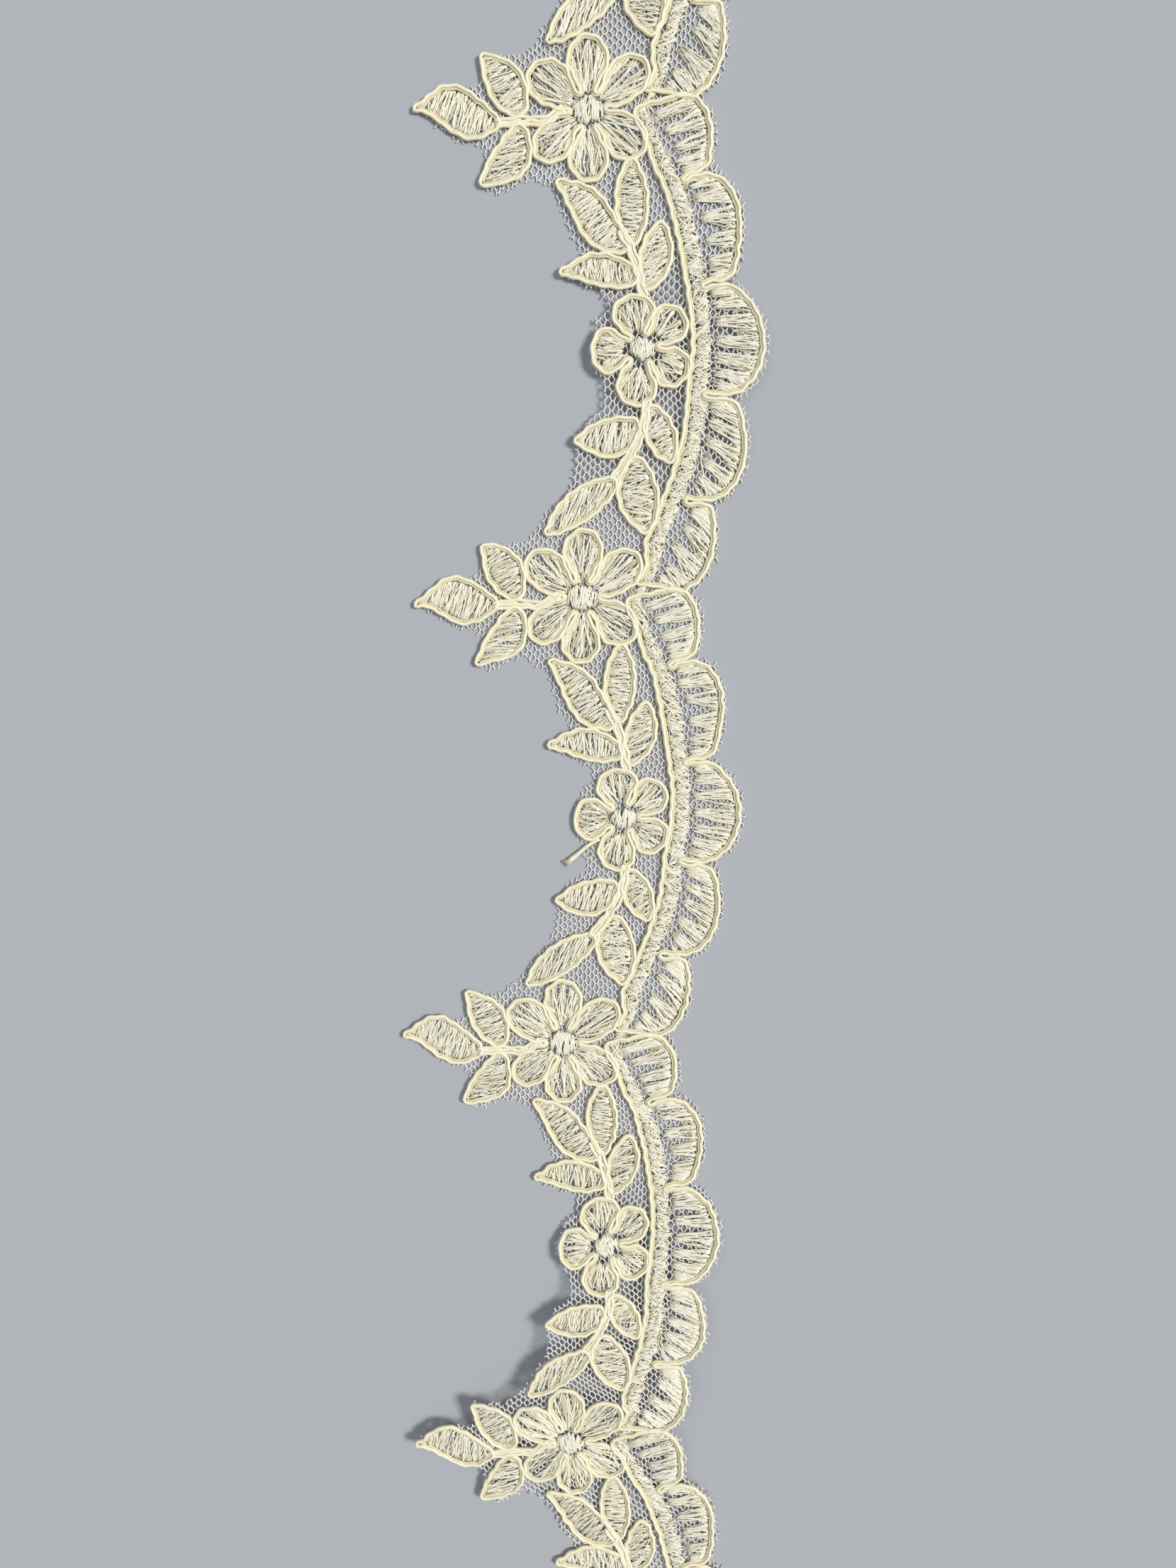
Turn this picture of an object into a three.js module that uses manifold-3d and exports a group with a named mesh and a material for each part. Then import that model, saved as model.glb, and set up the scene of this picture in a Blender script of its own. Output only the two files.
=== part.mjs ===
// Corded lace trim: a strip of net with one scalloped edge, embroidered with flowers and leaf sprays
// that are outlined with a couched cord. The strip lies on a surface, nearly flat, in one slow bend.
// Millimetres. X runs across the strip towards the scallops, Y along it, Z up; the origin is under
// the middle of the strip's box.
import * as THREE from "three";
import { mergeVertices } from "three/addons/utils/BufferGeometryUtils.js";
import Module from "manifold-3d";

const wasm = await Module();
wasm.setup();

// ---- driving dimensions ----
const REPEAT = 71; // length of one repeat of the pattern
const FLOWERS = 4; // large flowers on this length
const CUT_TOP = 22.5; // plain straight cut, above the first large flower
const CUT_BOTTOM = -(FLOWERS - 1) * REPEAT - 27; // and the other, below the last one

const NET_THICK = 1.0;
const FILL_THICK = 0.4;
const CORD_THICK = 0.8;
const CORD_WIDE = 0.85; // the outline cord as it lies
const STEM_WIDE = 1.7; // two cords side by side
const CLEAR = 0.35; // between neighbouring pieces
const NET_MARGIN = 0.9; // net left outside the scallop cord

const BOSS_RADIUS = 1.95;
const SMALL_BOSS_RADIUS = 1.75;
const BOSS_RISE = 0.9; // the padded middle of a flower stands this far over its petals
const BAND_WIDE = 2.7;
const BAND_GAP = 0.8; // header cord's middle to the band's near side
const STRIP_GAP = 1.2; // open net between the band and the scallops' fill
const PAD_ROOT = 1.6; // a petal's fill starts this much nearer the boss than its cord

// Heights of the layers over the lying net's underside.
const NET_LAYER = [0, NET_THICK];
const FILL_LAYER = [NET_LAYER[1] + CLEAR, NET_LAYER[1] + CLEAR + FILL_THICK];
const CORD_LAYER = [FILL_LAYER[1] + CLEAR, FILL_LAYER[1] + CLEAR + CORD_THICK];
const BOSS_LAYER = [FILL_LAYER[0], FILL_LAYER[1] + BOSS_RISE];

// Where each large flower lies, and how far the strip is turned there, in degrees.
const LAY = [
  { x: 0.0, y: 99.6, turn: -0.5, tipSwing: 0.7 },
  { x: -0.9, y: 28.9, turn: -2.9, tipSwing: -2.1 },
  { x: -4.0, y: -41.8, turn: -1.3, tipSwing: 0.7 },
  { x: -2.8, y: -109.5, turn: 4.1, tipSwing: 0.8 },
];
const SWING_ROOT = -13; // the long leaf swings beyond this line
const SWING_REACH = 13;
// The strip is bunched here: how far the pattern has slid, fading out over the reach each way.
const SLIP = { along: -183, reach: 26, across: -1.2, down: -1.8 };

// Slow lifts of the strip off the surface, along Y. Between them it lies flat.
const HUMPS = [
  { from: 40, to: 84, height: 1.0, facets: 4 },
  { from: -130, to: -62, height: 2.8, facets: 6 },
];

// ---- one repeat of the pattern: across and along, from the middle of its large flower ----
const LARGE_PETALS = [
  { angle: 91, reach: 10.7, wide: 6.5 },
  { angle: 38, reach: 11.1, wide: 6.4 },
  { angle: -35, reach: 10.4, wide: 6.7 },
  { angle: -89, reach: 10.3, wide: 6.4 },
  { angle: -139.5, reach: 10.3, wide: 6.0 },
  { angle: 145.5, reach: 10.7, wide: 6.7 },
];
const SMALL_PETALS = [
  { angle: 104, reach: 8.0, wide: 6.7 },
  { angle: 40, reach: 8.1, wide: 6.0 },
  { angle: -30, reach: 7.9, wide: 6.3 },
  { angle: -97, reach: 8.7, wide: 6.2 },
  { angle: -173, reach: 7.9, wide: 7.2 },
];
const SMALL_FLOWER = { across: 8.2, along: -34.0 };
const PETAL = { widest: 1.25, blunt: 0.7, point: 0.5, bow: 0, root: 2.3 };
const SMALL_PETAL = { widest: 1.2, blunt: 0.7, point: 0.5, bow: 0, root: 2.1 };

const OUTER_STEPS = 4; // faces along each side of a leaf's cord
const INNER_STEPS = 3; // and of the opening in it, and of its fill
const DISC_SIDES = 8;
const FILL_INSET = 0.2; // a fill ends a little inside its cord's outer edge

// base and tip are [across, along]. widest above 1 puts the broadest place nearer the tip. blunt
// and point shape the base and the tip: the lower, the rounder. bow bends the leaf to its left.
const TIP_SPRAY = {
  leaves: [
    { base: [-12.5, -2.0], tip: [-26.1, -0.6], wide: 7.7, widest: 0.85, blunt: 0.65, point: 1.0, bow: -0.7 },
    { base: [-9.6, -1.0], tip: [-16.1, 7.7], wide: 6.5, widest: 0.9, blunt: 0.6, point: 0.8, bow: -0.7 },
    { base: [-9.5, -1.6], tip: [-16.5, -11.4], wide: 6.4, widest: 0.85, blunt: 0.6, point: 0.85, bow: 0.8 },
  ],
  stem: [[-3.6, 0.2], [-6.2, -1.4], [-9.7, -1.4], [-13.6, -1.9]],
};
const UPPER_SPRAY = {
  leaves: [
    { base: [6.3, -19.7], tip: [-5.1, -9.7], wide: 6.3, widest: 0.85, blunt: 0.6, point: 0.85, bow: 0.2 },
    { base: [6.8, -19.4], tip: [6.4, -6.4], wide: 5.4, widest: 1.0, blunt: 0.7, point: 0.65, bow: 0 },
    { base: [8.6, -25.6], tip: [11.1, -15.3], wide: 4.9, widest: 1.0, blunt: 0.65, point: 0.65, bow: 0 },
    { base: [8.0, -23.9], tip: [-4.6, -23.2], wide: 5.5, widest: 0.75, blunt: 0.6, point: 0.85, bow: 0.1 },
  ],
  stem: [[4.9, -16.9], [6.4, -19.5], [7.6, -23.0], [8.3, -26.4]],
};
const LOWER_SPRAY = {
  leaves: [
    { base: [4.9, -53.0], tip: [-6.2, -61.8], wide: 5.2, widest: 0.95, blunt: 0.6, point: 0.65, bow: -0.3 },
    { base: [7.2, -49.2], tip: [9.5, -61.0], wide: 6.2, widest: 1.0, blunt: 0.65, point: 0.65, bow: -0.2 },
    { base: [8.5, -44.9], tip: [-2.7, -47.7], wide: 6.1, widest: 0.9, blunt: 0.55, point: 0.8, bow: 0 },
    { base: [9.3, -41.9], tip: [12.9, -50.6], wide: 4.9, widest: 1.0, blunt: 0.6, point: 0.6, bow: 0 },
  ],
  stem: [[8.9, -41.6], [8.5, -45.4], [6.8, -49.2], [4.0, -53.3]],
};
const TOP_END_LEAVES = 2; // of the lower spray, what the top cut leaves

// Header cord: it runs beside the flowers, the whole length.
const HEADER = [
  { along: 0.0, across: 11.3 },
  { along: -5.6, across: 10.2 },
  { along: -11.0, across: 11.6 },
  { along: -19.5, across: 13.9 },
  { along: -28.0, across: 15.6 },
  { along: -34.0, across: 15.9 },
  { along: -41.5, across: 15.6 },
  { along: -50.0, across: 14.1 },
  { along: -58.0, across: 11.9 },
  { along: -65.0, across: 10.3 },
];

// Scallops: from and to along the strip, the across of the notch at either end, and the reach.
const SCALLOPS = [
  { from: 1.6, to: -9.4, notch: 12.9, nextNotch: 14.4, reach: 18.1 },
  { from: -9.4, to: -24.6, notch: 14.4, nextNotch: 17.6, reach: 22.8 },
  { from: -24.6, to: -40.8, notch: 17.6, nextNotch: 18.0, reach: 26.7 },
  { from: -40.8, to: -56.0, notch: 18.0, nextNotch: 15.4, reach: 24.4 },
  { from: -56.0, to: -69.4, notch: 15.4, nextNotch: 12.9, reach: 20.1 },
];
const SCALLOP_STEPS = 5;
const SCALLOP_FULL = 0.7; // below 1 makes the arch fuller than an ellipse
const MEET = 0.05; // neighbouring arches overlap by this, so that their cord is one
const ARCH_ROOT = 0.1; // the cord's arch starts this far inside its notch
const ARCH_OPEN = 4; // its opening is cut back past the header
const FILL_LINK = { from: 0.8, to: 4.0, wide: 3.0 }; // fill that runs under the cords at a notch

// The net's edge on the leaf side.
const NET_EDGE = [
  [-6.6, 10.2], [-9.2, 8.4], [-12.4, 8.8], [-16.9, 8.6], [-17.2, 6.2], [-16.8, 3.8],
  [-20.2, 4.4], [-24.2, 2.6], [-27.0, 0.2], [-26.6, -1.6], [-22.6, -3.9], [-18.8, -5.6],
  [-16.0, -6.4], [-17.0, -9.4], [-17.4, -12.0], [-14.4, -12.3], [-11.0, -11.5], [-7.6, -11.3],
  [-5.2, -13.2], [-4.0, -16.5], [-2.5, -19.4], [-1.8, -20.6], [-4.0, -21.4], [-5.4, -23.2],
  [-4.6, -25.3], [-0.4, -25.8], [2.4, -27.0], [2.0, -28.8], [0.2, -31.0], [-0.4, -35.6],
  [1.4, -38.8], [3.2, -40.4], [3.2, -42.2], [1.0, -43.9], [-1.6, -45.6], [-3.4, -47.8],
  [-2.3, -50.0], [-2.3, -53.0], [-4.2, -57.2],
];
const NET_TOP = 13; // across, where that edge turns in above the top cut
const NET_LAP = 2; // that half runs under the scallops this far past the header
const NET_ARCH_ROOT = 5; // and the scallops' half this far inside their notches

// ---- where the pattern lies ----
const radians = THREE.MathUtils.degToRad;

function flowerDirection(k) {
  const turn = radians(LAY[k].turn);
  return new THREE.Vector2(-Math.sin(turn), Math.cos(turn));
}

// The strip's middle line and its turn, at a place along the pattern.
function middleLine(along) {
  const last = FLOWERS - 1;
  const place = THREE.MathUtils.clamp(-along / REPEAT, 0, last);
  const k = Math.min(Math.floor(place), last - 1);
  const t = place - k;
  const a = LAY[k];
  const b = LAY[k + 1];
  const da = flowerDirection(k).multiplyScalar(-REPEAT);
  const db = flowerDirection(k + 1).multiplyScalar(-REPEAT);
  const h10 = t * (1 - t) ** 2;
  const h01 = t * t * (3 - 2 * t);
  const h11 = t * t * (t - 1);
  const point = new THREE.Vector2(
    a.x + (b.x - a.x) * h01 + da.x * h10 + db.x * h11,
    a.y + (b.y - a.y) * h01 + da.y * h10 + db.y * h11,
  );
  const beyond = along + place * REPEAT;
  point.addScaledVector(flowerDirection(k + Math.round(t)), beyond);
  return { point, turn: radians(a.turn + (b.turn - a.turn) * t) };
}

function squareTo({ point, turn }, across) {
  return new THREE.Vector2(point.x + across * Math.cos(turn), point.y + across * Math.sin(turn));
}

// A place of the pattern, in the part's own frame, seen from above.
function lay(across, along) {
  const k = THREE.MathUtils.clamp(Math.round(-along / REPEAT), 0, FLOWERS - 1);
  const beyondRoot = Math.max(0, (SWING_ROOT - across) / SWING_REACH);
  const away = THREE.MathUtils.clamp((along - SLIP.along) / SLIP.reach, -1, 1);
  const slid = 0.5 * (1 + Math.cos(Math.PI * away));
  const line = middleLine(along + LAY[k].tipSwing * beyondRoot + SLIP.down * slid);
  return squareTo(line, across + SLIP.across * slid);
}

function lift(y) {
  let z = 0;
  for (const hump of HUMPS) {
    if (y > hump.from && y < hump.to) {
      const t = (y - hump.from) / (hump.to - hump.from);
      z += hump.height * 0.5 * (1 - Math.cos(2 * Math.PI * t));
    }
  }
  return z;
}

// ---- solids ----
const TALL = 30;
const HALF_WIDE = 60;
const HALF_LONG = 200;
const OVERRUN = 8; // what the cuts take off is drawn this far past them
const WELD = 1e-5;

function solidFrom(geometry) {
  const bare = geometry.clone();
  bare.deleteAttribute("normal");
  bare.deleteAttribute("uv");
  const merged = mergeVertices(bare, WELD);
  return new wasm.Manifold(new wasm.Mesh({
    numProp: 3,
    vertProperties: new Float32Array(merged.attributes.position.array),
    triVerts: new Uint32Array(merged.index.array),
  }));
}

function join(solids) {
  return solids.reduce((all, solid) => all.add(solid));
}

// A tall prism over an outline given in the part's frame.
function prism(outline, hole) {
  const shape = new THREE.Shape(outline);
  if (hole) shape.holes.push(new THREE.Path(hole));
  const geometry = new THREE.ExtrudeGeometry(shape, { depth: TALL, bevelEnabled: false });
  return solidFrom(geometry.translate(0, 0, -TALL / 2));
}

// The space of one layer: it follows the lying strip up and down.
function layer([low, high]) {
  const rows = [-HALF_LONG];
  for (const hump of [...HUMPS].sort((a, b) => a.from - b.from)) {
    for (let i = 0; i <= hump.facets; i++) {
      rows.push(hump.from + ((hump.to - hump.from) * i) / hump.facets);
    }
  }
  rows.push(HALF_LONG);
  const under = rows.map((y) => new THREE.Vector2(y, lift(y) + low));
  const over = rows.map((y) => new THREE.Vector2(y, lift(y) + high)).reverse();
  const geometry = new THREE.ExtrudeGeometry(new THREE.Shape([...under, ...over]), {
    depth: 2 * HALF_WIDE,
    bevelEnabled: false,
  });
  const alongX = new THREE.Matrix4().set(0, 0, 1, -HALF_WIDE, 1, 0, 0, 0, 0, 1, 0, 0, 0, 0, 0, 1);
  return solidFrom(geometry.applyMatrix4(alongX));
}

// The space between the two plain cuts.
function cutLength() {
  const corners = [
    [-HALF_WIDE, CUT_TOP],
    [HALF_WIDE, CUT_TOP],
    [HALF_WIDE, CUT_BOTTOM],
    [-HALF_WIDE, CUT_BOTTOM],
  ];
  return prism(corners.map(([across, along]) => squareTo(middleLine(along), across)));
}

const LENGTH = cutLength();
const NET_SPACE = layer(NET_LAYER).intersect(LENGTH);
const FILL_SPACE = layer(FILL_LAYER).intersect(LENGTH);
const CORD_SPACE = layer(CORD_LAYER).intersect(LENGTH);
const BOSS_SPACE = layer(BOSS_LAYER);

// ---- outlines, all in pattern places, laid by lay() ----

// A leaf or petal. grow moves its outline out, or in where it is below zero.
function leafOutline(leaf, start, steps, grow = 0) {
  const [bu, bv] = leaf.base;
  const dir = new THREE.Vector2(leaf.tip[0] - bu, leaf.tip[1] - bv);
  const long = dir.length();
  dir.normalize();
  const points = [];
  const put = (t, side) => {
    const full = Math.sin(Math.PI * t ** leaf.widest) ** (leaf.blunt + (leaf.point - leaf.blunt) * t);
    const half = (leaf.wide / 2 + grow) * full;
    const off = side * half + leaf.bow * Math.sin(Math.PI * t);
    const on = -grow + t * (long + 2 * grow);
    const u = bu + dir.x * on - dir.y * off;
    const v = bv + dir.y * on + dir.x * off;
    points.push(lay(u, v + start));
  };
  const eased = (i) => (1 - Math.cos((Math.PI * i) / steps)) / 2;
  for (let i = 0; i <= steps; i++) put(eased(i), i % steps ? -1 : 0);
  for (let i = steps - 1; i > 0; i--) put(eased(i), 1);
  return points;
}

function stripOutline(places, wide) {
  const left = [];
  const right = [];
  places.forEach(([u, v], i) => {
    const [pu, pv] = places[Math.max(i - 1, 0)];
    const [nu, nv] = places[Math.min(i + 1, places.length - 1)];
    const side = new THREE.Vector2(-(nv - pv), nu - pu).setLength(wide / 2);
    left.push(lay(u + side.x, v + side.y));
    right.unshift(lay(u - side.x, v - side.y));
  });
  return [...left, ...right];
}

function discOutline(across, along, radius) {
  const points = [];
  for (let i = 0; i < DISC_SIDES; i++) {
    const a = (2 * Math.PI * i) / DISC_SIDES;
    points.push(lay(across + radius * Math.cos(a), along + radius * Math.sin(a)));
  }
  return points;
}

function petalLeaf(centre, petal, kind, root = kind.root) {
  const a = radians(petal.angle);
  const at = (r) => [centre.across + r * Math.cos(a), centre.along + r * Math.sin(a)];
  return { ...kind, wide: petal.wide, base: at(root), tip: at(petal.reach) };
}

const ring = (leaf, start) =>
  prism(leafOutline(leaf, start, OUTER_STEPS), leafOutline(leaf, start, INNER_STEPS, -CORD_WIDE));
const pad = (leaf, start) => prism(leafOutline(leaf, start, INNER_STEPS, -FILL_INSET));
const leafRoom = (leaf, start) => prism(leafOutline(leaf, start, OUTER_STEPS, CLEAR));
const disc = (centre, start, radius) => prism(discOutline(centre.across, centre.along + start, radius));

// ---- the motifs: each gives its cord, its fill and the room that its neighbours leave it ----

function flower(centre, petals, kind, bossRadius, start) {
  const leaves = petals.map((p) => petalLeaf(centre, p, kind));
  const inner = petals.map((p) => petalLeaf(centre, p, kind, kind.root - PAD_ROOT));
  const collarRadius = bossRadius + CLEAR + CORD_WIDE;
  const collar = disc(centre, start, collarRadius).subtract(disc(centre, start, bossRadius + CLEAR));
  const boss = disc(centre, start, bossRadius);
  const cord = join(leaves.map((leaf) => ring(leaf, start)))
    .subtract(disc(centre, start, bossRadius + CLEAR))
    .add(collar);
  const fill = join(inner.map((leaf) => pad(leaf, start))).add(boss).intersect(FILL_SPACE);
  return {
    cord: cord.intersect(CORD_SPACE),
    fill: fill.add(boss.intersect(BOSS_SPACE)),
    room: join([...leaves, ...inner].map((leaf) => leafRoom(leaf, start)))
      .add(disc(centre, start, collarRadius + CLEAR)),
  };
}

function spray({ leaves, stem }, start, rooms) {
  const stalk = prism(stripOutline(stem.map(([u, v]) => [u, v + start]), STEM_WIDE));
  const room = join(leaves.map((leaf) => leafRoom(leaf, start)))
    .add(prism(stripOutline(stem.map(([u, v]) => [u, v + start]), STEM_WIDE + 2 * CLEAR)));
  const clear = (solid) => rooms.reduce((left, other) => left.subtract(other), solid);
  const cord = clear(join(leaves.map((leaf) => ring(leaf, start))).add(stalk));
  const fill = clear(join(leaves.map((leaf) => pad(leaf, start))).add(stalk));
  return { cord: cord.intersect(CORD_SPACE), fill: fill.intersect(FILL_SPACE), room };
}

// ---- header and scallops ----
const STARTS = Array.from({ length: FLOWERS + 1 }, (_, i) => (1 - i) * REPEAT);

function headerPlaces(shift) {
  const places = STARTS.flatMap((start) => HEADER.map((p) => [p.across + shift, p.along + start]));
  return places.filter(([, v]) => v < CUT_TOP + OVERRUN && v > CUT_BOTTOM - OVERRUN);
}

// One arch of the edge cord's middle line, moved out by grow.
function arch(scallop, start, grow = 0) {
  const points = [];
  for (let i = 0; i <= SCALLOP_STEPS; i++) {
    const a = Math.PI * (0.5 - i / SCALLOP_STEPS);
    const t = 0.5 - 0.5 * Math.sin(a);
    const notch = scallop.notch + (scallop.nextNotch - scallop.notch) * t;
    const full = Math.cos(a) ** SCALLOP_FULL;
    const half = (scallop.from - scallop.to) / 2 + grow;
    points.push([
      notch + (scallop.reach + grow - notch) * full,
      (scallop.from + scallop.to) / 2 + half * Math.sin(a) + start,
    ]);
  }
  return points;
}

function archShape(scallop, start, grow, inner) {
  const outside = arch(scallop, start, grow);
  const close = [outside.at(-1), outside[0]].map(([u, v]) => [u - inner, v]);
  return prism([...close, ...outside].reverse().map(([u, v]) => lay(u, v)));
}

function scallopCord(rooms) {
  const oneCord = (scallop, start) =>
    archShape(scallop, start, MEET, ARCH_ROOT)
      .subtract(archShape(scallop, start, -CORD_WIDE, ARCH_OPEN));
  const arches = STARTS.flatMap((start) => SCALLOPS.map((scallop) => oneCord(scallop, start)));
  const cord = rooms.reduce((left, other) => left.subtract(other), join(arches));
  return cord.intersect(CORD_SPACE);
}

function scallopFill(start, bandRoom) {
  const arches = SCALLOPS.map((scallop) => archShape(scallop, start, -FILL_INSET, 0));
  const links = SCALLOPS.slice(1).map(({ from, notch }) =>
    prism(stripOutline([
      [notch + FILL_LINK.to, from + start],
      [notch + FILL_LINK.from, from + start],
    ], FILL_LINK.wide)));
  return join([...arches, ...links]).subtract(bandRoom).intersect(FILL_SPACE);
}

function netGround() {
  const edge = STARTS.flatMap((start) => NET_EDGE.map(([u, v]) => lay(u, v + start)));
  const top = lay(NET_TOP, REPEAT + NET_EDGE[0][1]);
  const inside = headerPlaces(NET_LAP).map(([u, v]) => lay(u, v));
  const leafSide = prism([...edge, ...inside.reverse(), top].reverse());
  const arches = STARTS.flatMap((start) =>
    SCALLOPS.map((scallop) => archShape(scallop, start, NET_MARGIN, NET_ARCH_ROOT)));
  return join([leafSide, ...arches]).intersect(NET_SPACE);
}

// ---- assembly ----
const NET = new THREE.MeshStandardMaterial({ name: "net", color: 0xe9e2cf, roughness: 0.85, metalness: 0 });
const FILL = new THREE.MeshStandardMaterial({ name: "fill", color: 0xf4eedd, roughness: 0.45, metalness: 0 });
const CORD = new THREE.MeshStandardMaterial({ name: "cord", color: 0xf1e5c4, roughness: 0.8, metalness: 0 });

const group = new THREE.Group();

function addNode(name, solid, material) {
  const { vertProperties, numProp, triVerts } = solid.getMesh();
  const places = [];
  for (let i = 0; i < vertProperties.length; i += numProp) places.push(...vertProperties.slice(i, i + 3));
  const geometry = new THREE.BufferGeometry();
  geometry.setAttribute("position", new THREE.Float32BufferAttribute(places, 3));
  geometry.setIndex([...triVerts]);
  geometry.computeVertexNormals();
  const mesh = new THREE.Mesh(geometry, material);
  mesh.name = name;
  group.add(mesh);
}

function addMotif(name, motif) {
  addNode(`${name}_fill`, motif.fill, FILL);
  addNode(`${name}_cord`, motif.cord, CORD);
}

addNode("net_ground", netGround(), NET);

const largeFlowers = LAY.map((_, k) =>
  flower({ across: 0, along: 0 }, LARGE_PETALS, PETAL, BOSS_RADIUS, -k * REPEAT));
const smallFlowers = LAY.slice(1).map((_, k) =>
  flower(SMALL_FLOWER, SMALL_PETALS, SMALL_PETAL, SMALL_BOSS_RADIUS, -k * REPEAT));
largeFlowers.forEach((motif, k) => addMotif(`large_flower_${k + 1}`, motif));
smallFlowers.forEach((motif, k) => addMotif(`small_flower_${k + 1}`, motif));

const flowerRooms = join([...largeFlowers, ...smallFlowers].map((motif) => motif.room));
const headerRoom = prism(stripOutline(headerPlaces(0), CORD_WIDE + 2 * CLEAR).reverse());
const bandMiddle = BAND_GAP + BAND_WIDE / 2;
const bandRoom = prism(stripOutline(headerPlaces(bandMiddle), BAND_WIDE + 2 * STRIP_GAP).reverse());

LAY.forEach((_, k) => addMotif(`tip_spray_${k + 1}`, spray(TIP_SPRAY, -k * REPEAT, [flowerRooms])));
const upperSprays = LAY.map((_, k) => spray(UPPER_SPRAY, -k * REPEAT, [flowerRooms, headerRoom]));
upperSprays.forEach((motif, k) => addMotif(`upper_spray_${k + 1}`, motif));
const topEnd = { leaves: LOWER_SPRAY.leaves.slice(0, TOP_END_LEAVES), stem: LOWER_SPRAY.stem };
addMotif("lower_spray_0", spray(topEnd, REPEAT, [flowerRooms, headerRoom]));
smallFlowers.forEach((_, k) =>
  addMotif(`lower_spray_${k + 1}`, spray(LOWER_SPRAY, -k * REPEAT, [flowerRooms, headerRoom])));

const headerCord = prism(stripOutline(headerPlaces(0), CORD_WIDE).reverse());
addNode("header_cord", headerCord.subtract(flowerRooms).intersect(CORD_SPACE), CORD);
const band = prism(stripOutline(headerPlaces(bandMiddle), BAND_WIDE).reverse());
addNode("header_band", band.subtract(flowerRooms).intersect(FILL_SPACE), FILL);
addNode("scallop_cord", scallopCord([flowerRooms, headerRoom]), CORD);
STARTS.forEach((start, k) => addNode(`scallop_fill_${k}`, scallopFill(start, bandRoom), FILL));

// The origin goes under the middle of the box.
const box = new THREE.Box3().setFromObject(group);
const middle = box.getCenter(new THREE.Vector3());
for (const mesh of group.children) mesh.position.set(-middle.x, -middle.y, -box.min.z);

export default group;
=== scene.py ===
# Corded lace trim, in millimetres of the pattern until place() lays it in the CAD's frame.
# Pattern places are (across, along) from the middle of the first large flower of a repeat:
# across runs towards the scallops, along runs up the strip.
import math
from collections import namedtuple

import bpy
import numpy as np
from mathutils import Matrix, Vector


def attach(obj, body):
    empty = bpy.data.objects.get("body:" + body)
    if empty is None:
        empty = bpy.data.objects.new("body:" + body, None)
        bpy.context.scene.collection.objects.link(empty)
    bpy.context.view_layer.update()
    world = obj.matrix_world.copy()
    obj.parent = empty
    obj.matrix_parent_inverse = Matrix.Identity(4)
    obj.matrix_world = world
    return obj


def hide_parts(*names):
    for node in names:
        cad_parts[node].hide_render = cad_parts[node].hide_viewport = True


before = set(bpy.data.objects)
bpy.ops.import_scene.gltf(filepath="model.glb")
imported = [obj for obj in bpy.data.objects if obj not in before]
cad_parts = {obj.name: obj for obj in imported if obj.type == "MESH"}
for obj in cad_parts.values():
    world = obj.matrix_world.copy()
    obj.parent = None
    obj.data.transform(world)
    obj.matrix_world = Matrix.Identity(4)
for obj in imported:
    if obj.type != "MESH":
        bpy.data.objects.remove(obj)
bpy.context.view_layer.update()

MM = 0.001
rng = np.random.default_rng(20)

# ---- the strip, as part.mjs lays it ----
REPEAT = 71.0
FLOWERS = 4
CUT_TOP = 22.5
CUT_BOTTOM = -(FLOWERS - 1) * REPEAT - 27.0
STARTS = [(1 - k) * REPEAT for k in range(FLOWERS + 1)]  # the first is the cut one over the top flower
SHIFT = np.array([1.892, 7.067])  # part.mjs puts the origin under the middle of the box

# large flower: x, y, turn in degrees, swing of the long leaf
LAY = np.array([
    [0.0, 99.6, -0.5, 0.7],
    [-0.9, 28.9, -2.9, -2.1],
    [-4.0, -41.8, -1.3, 0.7],
    [-2.8, -109.5, 4.1, 0.8],
])
SWING_ROOT = -13.0
SWING_REACH = 13.0
SLIP_ALONG = -183.0  # where the strip is bunched
SLIP_REACH = 26.0
SLIP_ACROSS = -1.2
SLIP_DOWN = -1.8
HUMPS = [(40.0, 84.0, 1.0), (-130.0, -62.0, 2.8)]  # from, to, height

# ---- one repeat of the pattern ----
# widest: under 1, a leaf is widest nearer its base. blunt, point: the higher, the slimmer its base or
# tip. bow: to one side. sway: to both. lie: its threads' angle in degrees. mixed: how much it varies.
Leaf = namedtuple("Leaf", "base tip wide widest blunt point bow sway lie mixed")
TIP_LEAVES = [
    Leaf((-12.6, -1.7), (-26.1, -0.3), 7.2, 0.9, 0.75, 1.3, -0.8, 0.65, 75, 8),
    Leaf((-9.4, -0.9), (-15.8, 8.0), 6.1, 0.9, 0.6, 0.9, -0.4, 0.1, 30, 8),
    Leaf((-9.4, -1.9), (-16.0, -10.9), 5.9, 0.85, 0.6, 0.9, 1.3, 0.1, 14, 11),
]
TIP_STEM = [(-3.6, 0.2), (-6.2, -1.4), (-9.7, -1.4), (-13.6, -1.9)]
UPPER_LEAVES = [
    Leaf((6.2, -19.9), (-4.9, -9.6), 6.1, 0.85, 0.6, 0.9, 0.0, 0.5, 38, 9),
    Leaf((6.8, -19.4), (6.4, -6.4), 5.4, 1.0, 0.7, 0.7, 0.1, 0, 2, 9),
    Leaf((8.7, -25.9), (11.0, -15.3), 5.3, 1.0, 0.65, 0.7, -0.3, 0, 25, 22),
    Leaf((7.9, -23.6), (-4.4, -23.1), 5.4, 0.8, 0.6, 1.0, -0.8, 0.2, 95, 12),
]
UPPER_STEM = [(4.9, -16.9), (6.4, -19.5), (7.6, -23.0), (8.3, -26.4)]
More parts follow.
